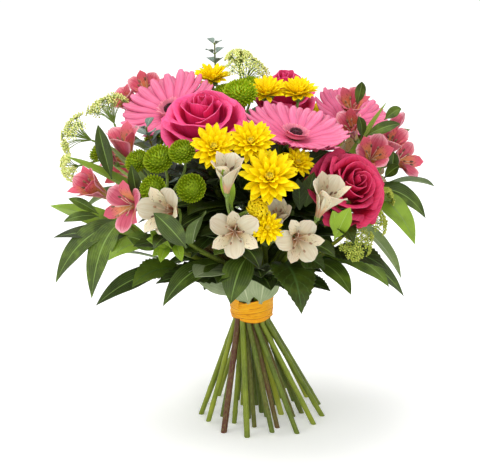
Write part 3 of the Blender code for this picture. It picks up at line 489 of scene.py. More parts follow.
class Heap:
    # copies of forms, gathered for one piece
    def __init__(self):
        self.parts = []
        self.count = 0

    def add(self, form, points, shade=0.5, skin=0):
        skins = np.broadcast_to(skin, len(form.totals))
        self.parts.append((points, form.loops + self.count, form.totals, form.uvs,
                           np.full(len(points), shade, float), skins))
        self.count += len(points)

    def blade(self, form, spine, width, raised=0.0, twist=0.0, roll=0.0, shade=0.5, skin=0):
        # a flat form, laid on a spine: its midrib and the direction across it
        self.add(form, lay(form, *spine, width, raised, twist, roll), shade, skin)

    def bud(self, form, place, axis, wide, tall, shade=0.5, skin=0, spin=0.0):
        # an upright form, stood on an axis
        side, other = frameOf(axis)
        a = math.cos(spin) * side + math.sin(spin) * other
        b = math.cos(spin) * other - math.sin(spin) * side
        x, y, z = form.points.T
        points = place + np.outer(x * wide, -a) + np.outer(y * wide, b) + np.outer(z * tall, axis)
        self.add(form, points, shade, skin)

    def wires(self, runs, skin):
        form = Form(runsObject(runs, 1))
        self.add(form, form.points, 0.6, skin)


def dress(name, heap, finishes, nodes, wall=0.0, crease=60):
    # makes the piece from its heap: wall is a blade's thickness in millimetres, and its underside gets
    # the next finish in the list; an edge stays sharp where it turns by more than crease, in degrees
    points, loops, totals, uvs, shades, skins = (np.concatenate(part) for part in zip(*heap.parts))
    mesh = bpy.data.meshes.new(name)
    mesh.vertices.add(len(points))
    mesh.vertices.foreach_set("co", (points * mm).ravel())
    mesh.loops.add(len(loops))
    mesh.loops.foreach_set("vertex_index", loops.astype(np.int32))
    mesh.polygons.add(len(totals))
    mesh.polygons.foreach_set("loop_start", (np.cumsum(totals) - totals).astype(np.int32))
    mesh.polygons.foreach_set("material_index", skins.astype(np.int32))
    mesh.update(calc_edges=True)
    mesh.uv_layers.new(name="UVMap").uv.foreach_set("vector", uvs.ravel())
    mesh.attributes.new("shade", "FLOAT", "POINT").data.foreach_set("value", shades)
    for finish in finishes:
        mesh.materials.append(bpy.data.materials[finish])
    piece = put(name, mesh)
    choose(piece)
    if wall:
        shell = piece.modifiers.new("Wall", "SOLIDIFY")
        shell.thickness = wall * mm
        shell.offset = 0
        shell.material_offset = 1 if len(finishes) > 1 else 0
        bpy.ops.object.modifier_apply(modifier="Wall")
    bpy.ops.object.shade_smooth_by_angle(angle=math.radians(crease), keep_sharp_edges=False)
    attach(piece, "root")
    if nodes:
        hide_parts(*nodes)
    return piece


def petalPath(place, axis, turn, profile, steps=14):
    # the spine of a petal that springs from an axis: profile is (out, along) pairs
    radial = spoke(axis, turn)
    out, up = smooth(steps, evenly(profile), profile).T
    return place + np.outer(out, radial) + np.outer(up, axis), np.cross(radial, axis)


def sphereSpots(count, low, high):
    # evenly scattered directions round an axis, from low to high: (turn, cosine)
    golden = math.pi * (3 - math.sqrt(5))
    return [(k * golden, low + (high - low) * (k + 0.5) / count) for k in range(count)]


# Finishes

def hexColour(code):
    rgb = [int(code[i:i + 2], 16) / 255 for i in (0, 2, 4)]
    return (*[c / 12.92 if c <= 0.04045 else ((c + 0.055) / 1.055) ** 2.4 for c in rgb], 1)


def feed(tree, node, inputs):
    # an input is a value, a colour code or another node's output
    for key, value in dict(inputs).items():
        if isinstance(value, bpy.types.NodeSocket):
            tree.links.new(value, node.inputs[key])
        else:
            node.inputs[key].default_value = hexColour(value) if isinstance(value, str) else value


def addNode(tree, kind, inputs=(), stops=(), **settings):
    node = tree.nodes.new(kind)
    for key, value in settings.items():
        setattr(node, key, value)
    feed(tree, node, inputs)
    if stops:
        ramp = node.color_ramp
        while len(ramp.elements) < len(stops):
            ramp.elements.new(0.5)
        for element, (place, colour) in zip(ramp.elements, stops):
            element.position = place
            element.color = hexColour(colour) if isinstance(colour, str) else (colour, colour, colour, 1)
    return node


def coordinates(tree, kind):
    return addNode(tree, "ShaderNodeTexCoord").outputs[kind]


def splitOf(tree, vector):
    return addNode(tree, "ShaderNodeSeparateXYZ", {"Vector": vector}).outputs


def shadeOf(tree):
    # the tone that each petal, leaf or stem was given
    return addNode(tree, "ShaderNodeAttribute", attribute_name="shade").outputs["Fac"]


def noise(tree, place, scale, detail, **more):
    return addNode(tree, "ShaderNodeTexNoise",
                   {"Vector": place, "Scale": scale, "Detail": detail, **more}).outputs["Fac"]


def stretch(tree, place, *scale):
    return addNode(tree, "ShaderNodeMapping", {"Vector": place, "Scale": scale}).outputs["Vector"]


def ramp(tree, value, *stops):
    return addNode(tree, "ShaderNodeValToRGB", {"Fac": value}, stops).outputs["Color"]


def maths(tree, operation, *values):
    return addNode(tree, "ShaderNodeMath", enumerate(values), operation=operation).outputs[0]


def blend(tree, share, first, second):
    return addNode(tree, "ShaderNodeMix", {"Factor": share, 6: first, 7: second}, data_type="RGBA").outputs[2]


def remap(tree, value, low, high, toLow=0.0, toHigh=1.0):
    return addNode(tree, "ShaderNodeMapRange", {"Value": value, "From Min": low, "From Max": high,
                                                "To Min": toLow, "To Max": toHigh}).outputs["Result"]


def bump(tree, height, strength, depth):
    return addNode(tree, "ShaderNodeBump",
                   {"Height": height, "Strength": strength, "Distance": depth}).outputs["Normal"]


def fromMidrib(tree, split):
    # how far a point lies from the middle line, 0 to 0.5
    return maths(tree, "ABSOLUTE", maths(tree, "SUBTRACT", split["X"], 0.5))


def newFinish(name):
    finish = bpy.data.materials.new(name)
    finish.use_nodes = True
    return finish.node_tree


def endFinish(tree, inputs):
    # sets or links the shader's own sockets
    feed(tree, tree.nodes["Principled BSDF"], inputs)


def petalFinish(name, lengthwise, rib, ribs, ribShare, darkest, lightest, glow, streak="", edge="",
                shine=0.3, scatter=(1.0, 0.5, 0.35)):
    # Petal skin: a thin moist wall of domed cells over fine ribs that run from root to tip. It gives
    # the eye a soft satin face that glows a little where light comes through, darker at the root and
    # along the ribs, and no two petals quite alike.
    tree = newFinish(name)
    uv = coordinates(tree, "UV")
    split = splitOf(tree, uv)
    ribNoise = noise(tree, stretch(tree, uv, ribs, 1.6, 1), 1.0, 3.0)
    ribMask = maths(tree, "MULTIPLY", ramp(tree, ribNoise, (0.35, 1.0), (0.62, 0.0)), ribShare)
    ribbed = blend(tree, ribMask, ramp(tree, split["Y"], *lengthwise), rib)
    mottle = noise(tree, coordinates(tree, "Object"), 90.0, 2.0)
    value = remap(tree, maths(tree, "ADD", shadeOf(tree), mottle), 0.3, 1.7, darkest, lightest)
    colour = addNode(tree, "ShaderNodeHueSaturation", {"Value": value, "Color": ribbed}).outputs["Color"]
    if streak:
        # short dark dashes in rows along the middle of the petal, as on a guide for bees
        spots = addNode(tree, "ShaderNodeTexVoronoi", {"Vector": stretch(tree, uv, 20, 11, 1), "Scale": 1.0,
                                                       "Randomness": 0.75}).outputs["Distance"]
        zone = ramp(tree, split["Y"], (0.30, 0.0), (0.42, 1.0), (0.80, 1.0), (0.92, 0.0))
        dashed = maths(tree, "MULTIPLY", ramp(tree, spots, (0.20, 1.0), (0.30, 0.0)), zone)
        colour = blend(tree, dashed, colour, streak)
    if edge:
        # a petal's edges take their own colour: darker on the gerbera and chrysanthemum petals, painted shade
        # where an edge lies against or under the next one; paler on the pink tepals, their own colour
        colour = blend(tree, ramp(tree, fromMidrib(tree, split), (0.34, 0.0), (0.49, 0.8)), colour, edge)
    endFinish(tree, {
        "Base Color": colour, "Normal": bump(tree, ribNoise, 0.5, 0.0004), "Roughness": 0.55,
        "Specular IOR Level": shine, "Subsurface Weight": glow, "Subsurface Radius": scatter,
        "Subsurface Scale": 0.0025})


def leafFinish(name, greens, vein, veinSlant, veinsAlong, veinShare, roughness):
    # Leaf skin: a waxy cuticle over darker green cells, with a paler sunk midrib and side veins. It
    # gives the eye a satin green with broad soft highlights, and a matt paler underside.
    tree = newFinish(name)
    split = splitOf(tree, coordinates(tree, "UV"))
    off = fromMidrib(tree, split)
    # side veins: slanting lines where the leaf is net-veined, lengthwise ones where it is a lily's
    count = maths(tree, "SUBTRACT", maths(tree, "MULTIPLY", split["Y"], veinsAlong),
                  maths(tree, "MULTIPLY", off, veinSlant))
    veins = ramp(tree, maths(tree, "PINGPONG", count, 1.0), (0.03, 1.0), (0.20, 0.0))
    lines = maths(tree, "MAXIMUM", ramp(tree, off, (0.012, 1.0), (0.045, 0.0)),
                  maths(tree, "MULTIPLY", veins, veinShare))
    place = coordinates(tree, "Object")
    mottle = noise(tree, place, 70.0, 4.0)
    green = ramp(tree, remap(tree, maths(tree, "ADD", shadeOf(tree), mottle), 0.3, 1.5), *greens)
    height = maths(tree, "SUBTRACT", noise(tree, place, 900.0, 2.0), lines)
    endFinish(tree, {
        "Base Color": blend(tree, lines, green, vein), "Normal": bump(tree, height, 0.6, 0.0004),
        "Roughness": remap(tree, mottle, 0.0, 1.0, roughness - 0.08, roughness + 0.1),
        "Specular IOR Level": 0.35, "Subsurface Weight": 0.08, "Subsurface Radius": (0.5, 1.0, 0.25),
        "Subsurface Scale": 0.0015})


def stemFinish(name, tones, streak, roughness):
    # Stem skin: smooth bark-green cells in long files. It gives the eye fine streaks along the stem,
    # pale pores, and colour that runs from one stem to the next between fresh green and brown.
    tree = newFinish(name)
    place = coordinates(tree, "Object")
    streaks = noise(tree, stretch(tree, place, 900, 900, 22), 1.0, 3.0)
    patches = remap(tree, noise(tree, place, 45.0, 3.0), 0.3, 0.7, -0.09, 0.09)
    green = ramp(tree, maths(tree, "ADD", shadeOf(tree), patches), *tones)
    endFinish(tree, {
        "Base Color": blend(tree, ramp(tree, streaks, (0.42, 0.0), (0.66, 0.26)), green, streak),
        "Normal": bump(tree, streaks, 0.5, 0.0005), "Roughness": roughness, "Specular IOR Level": 0.3,
        "Subsurface Weight": 0.05, "Subsurface Radius": (0.5, 1.0, 0.3), "Subsurface Scale": 0.0015})


def speckFinish(name, tones, grains, roughness):
    # Small soft parts such as anthers, florets and cut ends: a matt grainy skin. It gives the eye a
    # powdery colour that shifts from grain to grain.
    tree = newFinish(name)
    grain = noise(tree, coordinates(tree, "Object"), grains, 2.0)
    half = maths(tree, "MULTIPLY", maths(tree, "ADD", grain, shadeOf(tree)), 0.5)
    endFinish(tree, {
        "Base Color": ramp(tree, half, *tones), "Normal": bump(tree, grain, 0.5, 0.0004),
        "Roughness": roughness, "Subsurface Weight": 0.1, "Subsurface Scale": 0.001})


def ribbonFinish(name, tones, edgeShadeColour):
    # Crinkled viscose ribbon: fine glossy threads side by side under a crepe. It gives the eye a silky
    # yellow-orange with lengthwise pleats, each with a deeper orange painted shade in its crease, and darker
    # orange edges, painted shade where one turn of the ribbon lies over the next.
    tree = newFinish(name)
    uv = coordinates(tree, "UV")
    pleats = noise(tree, stretch(tree, uv, 7, 26, 1), 1.0, 4.0, Distortion=0.6)
    # the edges are painted darker: painted shade where one turn of the ribbon lies over the next
    edgeShade = ramp(tree, splitOf(tree, uv)["X"], (0.0, 1.0), (0.07, 0.0), (0.93, 0.0), (1.0, 1.0))
    threads = noise(tree, stretch(tree, uv, 60, 30, 1), 1.0, 1.0)
    height = maths(tree, "MULTIPLY_ADD", threads, 0.4, pleats)
    endFinish(tree, {
        "Base Color": blend(tree, edgeShade, ramp(tree, pleats, *tones), edgeShadeColour),
        "Normal": bump(tree, height, 0.8, 0.0009), "Roughness": 0.5, "Specular IOR Level": 0.25,
        "Subsurface Weight": 0.1, "Subsurface Radius": (1.0, 0.7, 0.1), "Subsurface Scale": 0.0015})


def floorFinish(name, tones, glow):
    # A white painted table: all but even, matt, and lit a little from beneath.
    tree = newFinish(name)
    cloud = noise(tree, coordinates(tree, "Object"), 3.0, 2.0)
    endFinish(tree, {"Base Color": ramp(tree, cloud, *tones), "Roughness": 0.9,
                     "Emission Color": (1, 1, 1, 1), "Emission Strength": glow})


print("stage: finishes")

petalFinish("rosePetalHotPink", ((0.0, "FFC860"), (0.12, "E82C70"), (0.6, "F03A7C"), (1.0, "FA5C96")),
            rib="C81850", ribs=26, ribShare=0.35, darkest=0.72, lightest=1.08, glow=0.3)
petalFinish("rosePetalHotPinkBack", ((0.0, "E8C060"), (0.15, "E02868"), (0.7, "E83274"), (1.0, "F44C8C")),
            rib="B81048", ribs=26, ribShare=0.4, darkest=0.7, lightest=1.05, glow=0.3)
petalFinish("rosePetalCrimson", ((0.0, "E0A050"), (0.12, "D01840"), (0.6, "DE1E50"), (1.0, "F04478")),
            rib="A00C30", ribs=26, ribShare=0.4, darkest=0.62, lightest=1.05, glow=0.25)
petalFinish("rosePetalCrimsonBack", ((0.0, "D8A050"), (0.15, "B81038"), (0.7, "C81844"), (1.0, "E83468")),
            rib="8C0828", ribs=26, ribShare=0.45, darkest=0.6, lightest=1.0, glow=0.25)
# the darker edge colour here is painted shade between the petals
petalFinish("gerberaPetalFace", ((0.0, "E46480"), (0.25, "EA6890"), (0.7, "F0769C"), (1.0, "F690B0")),
            rib="C03868", edge="A82458", ribs=9, ribShare=0.5, darkest=0.72, lightest=1.06, glow=0.3)
petalFinish("gerberaPetalBack", ((0.0, "A83060"), (0.4, "CC4880"), (1.0, "E06898")),
            rib="A82C60", ribs=9, ribShare=0.6, darkest=0.8, lightest=1.05, glow=0.25)
petalFinish("gerberaInnerPetal", ((0.0, "B84860"), (0.5, "D86880"), (1.0, "EC8CA0")),
            rib="D86880", ribs=5, ribShare=0.4, darkest=0.82, lightest=1.1, glow=0.3)
speckFinish("gerberaEye", ((0.2, "2A0E14"), (0.55, "5A2030"), (0.85, "A05060")),
            grains=1200.0, roughness=0.75)
# the darker edge colour here is painted shade between the petals
petalFinish("chrysanthemumPetal", ((0.0, "DCC400"), (0.2, "F8D400"), (0.7, "FFE000"), (1.0, "FFE814")),
            rib="F4CC00", edge="EEBE00", ribs=9, ribShare=0.3, darkest=0.95, lightest=1.1, glow=0.5,
            shine=0.15, scatter=(1.0, 0.85, 0.1))
petalFinish("chrysanthemumPetalBack", ((0.0, "C0B018"), (0.3, "F2CC00"), (1.0, "FDDA08")),
            rib="D8AC00", ribs=9, ribShare=0.3, darkest=0.86, lightest=1.06, glow=0.5,
            scatter=(1.0, 0.85, 0.1))
speckFinish("chrysanthemumCentre", ((0.2, "A89A10"), (0.5, "D8C020"), (0.8, "F0DC40")),
            grains=1500.0, roughness=0.7)
petalFinish("santiniPetal", ((0.0, "3E5200"), (0.45, "647C02"), (0.8, "84A00A"), (1.0, "A6BE28")),
            rib="4A6208", ribs=5, ribShare=0.3, darkest=0.75, lightest=1.08, glow=0.2, shine=0.12)
# a lighter copy of the santini petal for the top heads: painted light, so they read bright where they sit in
# shade between the other heads
petalFinish("santiniPetalPaintedLight", ((0.0, "4E6400"), (0.45, "7C9A06"), (0.8, "9CBC12"), (1.0, "B6D030")),
            rib="5E7A08", ribs=5, ribShare=0.3, darkest=0.8, lightest=1.1, glow=0.3, shine=0.12)
petalFinish("alstroemeriaPinkTepal", ((0.0, "A0A050"), (0.2, "C46E70"), (0.55, "CA5870"), (0.85, "D06478"),
                                      (1.0, "F2B4BC")),
            rib="A42848", ribs=11, ribShare=0.6, darkest=0.7, lightest=1.12, glow=0.35, edge="E49AA4")
petalFinish("alstroemeriaPinkThroatTepal", ((0.0, "A8B060"), (0.3, "E0BC68"), (0.6, "DC9460"),
                                            (0.82, "CC5C70"), (1.0, "D05A74")),
            rib="C05458", ribs=12, ribShare=0.4, darkest=0.8, lightest=1.08, glow=0.35, streak="5A1020")
petalFinish("alstroemeriaCreamTepal", ((0.0, "A89C58"), (0.22, "C89878"), (0.42, "CCC4A4"),
                                       (1.0, "DAD2BC")),
            rib="B8A07C", ribs=11, ribShare=0.4, darkest=0.74, lightest=1.04, glow=0.3)
petalFinish("alstroemeriaCreamThroatTepal", ((0.0, "B89858"), (0.25, "CE9470"), (0.42, "D0B488"),
                                             (0.65, "D0C8A4"), (1.0, "DAD0B8")),
            rib="C4A084", ribs=12, ribShare=0.3, darkest=0.76, lightest=1.04, glow=0.3, streak="5A2418")
speckFinish("alstroemeriaAnther", ((0.2, "4A3428"), (0.6, "8A6A50"), (0.9, "B89878")),
            grains=1500.0, roughness=0.8)
speckFinish("alstroemeriaFilament", ((0.2, "C0A088"), (0.8, "DCC8AC")),
            grains=600.0, roughness=0.6)
speckFinish("umbelFloret", ((0.2, "8C9820"), (0.45, "C0C858"), (0.8, "ECEEA4")),
            grains=900.0, roughness=0.7)
leafFinish("eucalyptusLeaf", ((0.0, "4C5E50"), (0.5, "64766A"), (1.0, "84948A")),
           vein="9CAA9C", veinSlant=3.0, veinsAlong=6.0, veinShare=0.25, roughness=0.6)
leafFinish("alstroemeriaLeaf", ((0.0, "101804"), (0.5, "3C4E0E"), (1.0, "84A22C")),
           vein="7A9446", veinSlant=22.0, veinsAlong=0.0, veinShare=0.4, roughness=0.38)
leafFinish("alstroemeriaLeafBack", ((0.0, "3A4C22"), (0.5, "5E723A"), (1.0, "8C9E5C")),
           vein="A0B080", veinSlant=22.0, veinsAlong=0.0, veinShare=0.35, roughness=0.6)
leafFinish("roseLeaf", ((0.0, "0E1402"), (0.5, "324008"), (1.0, "5A7018")),
           vein="4E6A30", veinSlant=7.0, veinsAlong=14.0, veinShare=0.5, roughness=0.46)
leafFinish("roseLeafBack", ((0.0, "34461E"), (0.5, "546838"), (1.0, "7E9058")),
           vein="A4B488", veinSlant=7.0, veinsAlong=14.0, veinShare=0.55, roughness=0.66)
leafFinish("silverLeaf", ((0.0, "5C6E44"), (0.5, "7E8E62"), (1.0, "A2AC86")),
           vein="B8C098", veinSlant=18.0, veinsAlong=0.0, veinShare=0.5, roughness=0.6)
leafFinish("youngLeaf", ((0.0, "46600A"), (0.5, "648010"), (1.0, "8AA824")),
           vein="A0BC58", veinSlant=20.0, veinsAlong=0.0, veinShare=0.4, roughness=0.5)
stemFinish("cutStem", ((0.0, "562820"), (0.10, "623A28"), (0.26, "5C5620"), (0.45, "526418"),
                       (0.64, "7C8A22"), (0.82, "9EA624"), (1.0, "B0B848")),
           streak="98A048", roughness=0.45)
stemFinish("flowerStalk", ((0.0, "46601C"), (0.5, "66822A"), (1.0, "98AA44")),
           streak="B8C488", roughness=0.5)
speckFinish("cutEnd", ((0.2, "8A9458"), (0.5, "B8BE88"), (0.8, "DCDCB8")),
            grains=1400.0, roughness=0.8)
# the edge colour is painted shade where the turns of the ribbon overlap
ribbonFinish("crinkledRibbon", ((0.28, "D07800"), (0.38, "EC9A00"), (0.55, "F4AA04"), (0.74, "FCC02C")),
             edgeShadeColour="B86000")
floorFinish("studioFloor", ((0.3, "F6F6F5"), (0.7, "FBFBFA")), glow=0.22)

print("stage: forms")

# Blades: columns, rows, and half widths from root to tip as shares of a blade's half width
strapPetal = bladeForm(6, 10, (0, 0.34), (0.15, 0.46), (0.4, 0.78), (0.65, 0.96), (0.84, 1.0),
                       (0.94, 0.82), (1, 0.42))
shortPetal = bladeForm(2, 4, (0, 0.5), (0.3, 0.8), (0.65, 1.0), (0.9, 0.7), (1, 0.2))
rosePetal = bladeForm(10, 11, (0, 0.3), (0.2, 0.66), (0.45, 0.94), (0.65, 1.0), (0.82, 0.95),
                      (0.93, 0.76), (1, 0.36))
mumPetal = bladeForm(4, 7, (0, 0.40), (0.25, 0.72), (0.55, 1.0), (0.76, 0.88), (0.91, 0.50), (1, 0.0))
buttonPetal = bladeForm(2, 3, (0, 0.6), (0.5, 1.0), (0.85, 0.8), (1, 0.3))
broadTepal = bladeForm(6, 13, (0, 0.16), (0.25, 0.26), (0.45, 0.62), (0.64, 0.94), (0.78, 1.0),
                       (0.88, 0.88), (0.95, 0.62), (1, 0.16))
narrowTepal = bladeForm(4, 9, (0, 0.3), (0.25, 0.4), (0.5, 0.7), (0.72, 1.0), (0.9, 0.72), (1, 0.0))
lanceLeaf = bladeForm(8, 22, (0, 0.10), (0.06, 0.14), (0.16, 0.52), (0.32, 0.88), (0.5, 1.0), (0.7, 0.82),
                      (0.87, 0.42), (1, 0.0))
broadLeaf = bladeForm(8, 20, (0, 0.2), (0.1, 0.5), (0.28, 0.86), (0.5, 1.0), (0.74, 0.88), (0.9, 0.5),
                      (1, 0.0))
roundLeaf = bladeForm(4, 6, (0, 0.1), (0.12, 0.3), (0.35, 0.86), (0.6, 1.0), (0.85, 0.72), (1, 0.1))
bractForm = bladeForm(2, 4, (0, 0.8), (0.4, 1.0), (0.8, 0.5), (1, 0.0))
teeth = 16
serrated = []
for k in range(2 * teeth + 1):
    at = k / (2 * teeth)
    broad = float(smooth(np.array([at]), (0, 0.1, 0.28, 0.5, 0.75, 1), (0.12, 0.42, 0.92, 1.0, 0.62, 0.0))[0])
    serrated.append((at, broad * (1.0 if k % 2 else 0.88)))
serratedLeaf = bladeForm(6, 2 * teeth, *serrated)
grainForm = budForm(6, 4)
tinyBud = budForm(5, 3)
antherForm = budForm(6, 4, ends=0.9)
domeForm = budForm(20, 10)


# Roses

roseLook = {
    # for each whorl from the bud out: petals, radii, heights, half wrap in degrees, skew, lip, curl
    "whorls": (
        (2, (0.03, 0.09, 0.12, 0.10), (0.30, 0.64, 0.92, 1.05), 120, 0.45, 0.00, 0.00),
        (3, (0.10, 0.22, 0.26, 0.24), (0.26, 0.61, 0.92, 1.03), 88, 0.32, 0.03, 0.02),
        (3, (0.20, 0.38, 0.43, 0.43), (0.20, 0.54, 0.84, 0.97), 76, 0.24, 0.07, 0.05),
        (4, (0.30, 0.54, 0.61, 0.64), (0.15, 0.45, 0.74, 0.87), 62, 0.16, 0.11, 0.08),
        (4, (0.38, 0.68, 0.81, 0.87), (0.10, 0.34, 0.57, 0.68), 56, 0.10, 0.13, 0.10),
        (5, (0.42, 0.74, 0.90, 0.97), (0.06, 0.22, 0.37, 0.42), 46, 0.06, 0.12, 0.12),
    ),
    "wall": 0.5,
    "finishes": {"hot_pink_rose": ("rosePetalHotPink", "rosePetalHotPinkBack"),
                 "crimson_rose": ("rosePetalCrimson", "rosePetalCrimsonBack")},
}


def wrapPetal(form, place, axis, turn, radii, wide, heights, tall, wrap, skew=0, lip=0, curl=0, point=0):
    # a petal that wraps round the bud by so many degrees to each side: its edges roll out and its tip
    # turns back over its lip
    side, other = frameOf(axis)
    marks = (0, 0.35, 0.7, 1)
    x, v = form.across, form.along
    edge = np.clip((v - 0.72) / 0.28, 0, 1)
    roll = 1.6 * lip * x * x * edge
    out = smooth(v, marks, np.multiply(radii, wide)) * (1 + skew * x)
    out = out + curl * np.abs(x) ** 3 * (0.4 + v) + lip * edge**2 + roll
    up = smooth(v, marks, np.multiply(heights, tall))
    up = up - 0.8 * lip * edge**3 + point * edge**2 * (1 - np.abs(x)) - roll
    up = up - 0.10 * np.abs(x) ** 3 * (0.3 + edge)
    angle = turn + math.radians(wrap) * x
    return (place + np.outer(np.cos(angle) * out, side) + np.outer(np.sin(angle) * out, other)
            + np.outer(up, axis))


def makeRose(name):
    colour, wide, tall = roses[name]
    place, axis = seatOf(name)
    draw = random.Random(name)
    heap = Heap()
    for w, (count, radii, heights, wrap, skew, lip, curl) in enumerate(roseLook["whorls"]):
        for k in range(count):
            turn = 2 * math.pi * (k + 0.37 * w) / count + draw.uniform(-0.12, 0.12)
            swell = wide / 2 * draw.uniform(0.95, 1.0)
            rise = tall * draw.uniform(0.95, 1.0)
            points = wrapPetal(rosePetal, place, axis, turn, radii, swell, heights, rise, wrap,
                               skew * draw.uniform(0.6, 1.3), lip * swell,
                               curl * swell * draw.uniform(0.5, 1.4), draw.uniform(0.04, 0.10) * tall)
            heap.add(rosePetal, points, draw.random())
    dress(name + "_rosePetals", heap, roseLook["finishes"][colour], [name + "_bloom"],
          roseLook["wall"])


# Gerberas

gerberaLook = {
    "petals": 21, "petalWidth": 0.20, "wall": 0.45,
    "short": 30, "shortWidth": 3.4, "ringReach": 0.27,
    "discBuds": 90, "discRadius": 6.0,
    "finishes": ("gerberaPetalFace", "gerberaPetalBack", "gerberaInnerPetal", "gerberaInnerPetal"),
}


def makeGerbera(name):
    reach = gerberas[name] / 2
    place, axis = seatOf(name)
    draw = random.Random(name)
    heap = Heap()
    count, short, buds = gerberaLook["petals"], gerberaLook["short"], gerberaLook["discBuds"]
    x = strapPetal.across
    raised = -1.5 * x * x + 0.22 * np.cos(3 * math.pi * x)
    # two rows of rays; the back row is given a darker tone, painted shade where it lies under the front row
    for row in range(2):
        for k in range(count):
            turn = 2 * math.pi * (k + 0.5 * row + draw.uniform(-0.12, 0.12)) / count
            far = reach * draw.uniform(0.9, 1.0) * (1.0 if row == 0 else 0.96)
            lift = draw.uniform(-1.4, 1.4) - 1.6 * row
            profile = ((5, 4.5), (15, 6.8 - 0.8 * row), (0.45 * reach, 9.6 - row),
                       (0.72 * reach, 13.4 + lift), (far, 19 + 1.4 * lift))
            heap.blade(strapPetal, petalPath(place, axis, turn, profile),
                       gerberaLook["petalWidth"] * reach * draw.uniform(0.92, 1.08), raised,
                       draw.uniform(-0.2, 0.2), shade=draw.uniform(0.4, 1.0) - 0.6 * row)
    heap.bud(domeForm, place + axis * 8.6, axis, 9.5, 2.0, 0.2, 3)
    for k in range(short):
        turn = 2 * math.pi * (k + draw.uniform(-0.2, 0.2)) / short
        far = gerberaLook["ringReach"] * reach * draw.uniform(0.85, 1.05)
        profile = ((5.5, 8.5), (9.0, 11.6), (far, 14.2 + draw.uniform(-0.6, 0.6)))
        heap.blade(shortPetal, petalPath(place, axis, turn, profile, 8), gerberaLook["shortWidth"],
                   0.3 * shortPetal.across**2, shade=draw.random(), skin=2)
    dress(name + "_rays", heap, gerberaLook["finishes"], [name + "_petals"],
          gerberaLook["wall"])
    eye = Heap()
    eye.bud(domeForm, place + axis * 10.6, axis, 5.8, 2.0, 0.2)
    for k in range(buds):
        share = (k + 0.5) / buds
        rise = 11.6 + 1.6 * math.sin(math.pi * min(1, share * 1.1)) - 1.0 * (1 - share) ** 4
        out = gerberaLook["discRadius"] * math.sqrt(share)
        spot = place + out * spoke(axis, goldenTurn * k) + axis * rise
        eye.bud(grainForm, spot, axis, 0.42, 1.3, draw.random() * (0.5 + 0.5 * share))
    dress(name + "_disc", eye, ("gerberaEye",), [name + "_eye"])


# Chrysanthemums

mumLook = {
    # for each row from the outside in: petals, width, and (out, along) of its midrib, as shares
    "rows": (
        (15, 0.25, ((0.12, 0.02), (0.45, 0.09), (0.75, 0.18), (1.00, 0.22))),
        (13, 0.25, ((0.12, 0.05), (0.42, 0.19), (0.68, 0.34), (0.88, 0.44))),
        (10, 0.23, ((0.10, 0.08), (0.32, 0.27), (0.50, 0.44), (0.64, 0.58))),
        (8, 0.19, ((0.07, 0.10), (0.20, 0.28), (0.30, 0.44), (0.38, 0.56))),
        (5, 0.14, ((0.04, 0.12), (0.10, 0.26), (0.14, 0.38), (0.16, 0.46))),
    ),
    # for each whorl of a closed head from the middle out: petals, radii, heights, half wrap in degrees
    "bud": (
        (5, (0.04, 0.12, 0.12, 0.02), (-0.1, 0.2, 0.40, 0.50), 50),
        (7, (0.10, 0.24, 0.22, 0.10), (-0.2, 0.1, 0.38, 0.48), 32),
        (9, (0.20, 0.40, 0.38, 0.24), (-0.3, 0.0, 0.28, 0.42), 27),
        (9, (0.26, 0.48, 0.49, 0.40), (-0.38, -0.12, 0.14, 0.30), 25),
    ),
    "smallestOpen": 20, "grains": 16, "wall": 0.4,
    "finishes": ("chrysanthemumPetal", "chrysanthemumPetalBack",
                 "chrysanthemumCentre", "chrysanthemumCentre"),
}


def mumHead(heap, place, axis, wide, draw):
    reach = wide / 2
    cup = 1.15 if axis[2] > 0.9 else 1.0
    for row, (count, width, profile) in enumerate(mumLook["rows"]):
        for k in range(count):
            turn = 2 * math.pi * (k + 0.5 * (row % 2) + draw.uniform(-0.3, 0.3)) / count
            far = draw.uniform(0.84, 1.0)
            lift = draw.uniform(-0.12, 0.12)
            shaped = [(out * far * reach, (cup * up + lift * out) * reach) for out, up in profile]
            raised = 0.16 * width * reach * mumPetal.across**2 * (1 + mumPetal.along)
            heap.blade(mumPetal, petalPath(place, axis, turn, shaped, 9),
                       width * reach * draw.uniform(0.9, 1.1), raised, draw.uniform(-0.35, 0.35),
                       shade=draw.random())
    for k in range(mumLook["grains"]):
        out = 0.13 * reach * math.sqrt(k / mumLook["grains"])
        spot = place + out * spoke(axis, goldenTurn * k) + axis * 0.30 * reach
        heap.bud(grainForm, spot, axis, 0.035 * reach, 0.07 * reach, draw.random(), 2)


def mumBud(heap, place, axis, wide, draw):
    # a closed head: short petals folded over the middle
    for w, (count, radii, heights, wrap) in enumerate(mumLook["bud"]):
        for k in range(count):
            turn = 2 * math.pi * (k + 0.5 * w) / count
            points = wrapPetal(mumPetal, place, axis, turn, radii, wide, heights, wide, wrap, 0.1)
            heap.add(mumPetal, points, draw.random())


def makeMums(node):
    heap = Heap()
    for k, (_, place, face, wide) in enumerate(chrysanthemums[node]):
        make = mumHead if wide >= mumLook["smallestOpen"] else mumBud
        make(heap, np.array(place, float), facing(*face), wide, random.Random(f"{node}{k}"))
    dress(node.replace("_head", "_flowerHead"), heap, mumLook["finishes"], [node],
          mumLook["wall"])


# Button santini

santiniLook = {"petals": 170, "width": 0.18, "length": 0.42, "flat": 0.66, "swell": 1.12, "wall": 0.4}


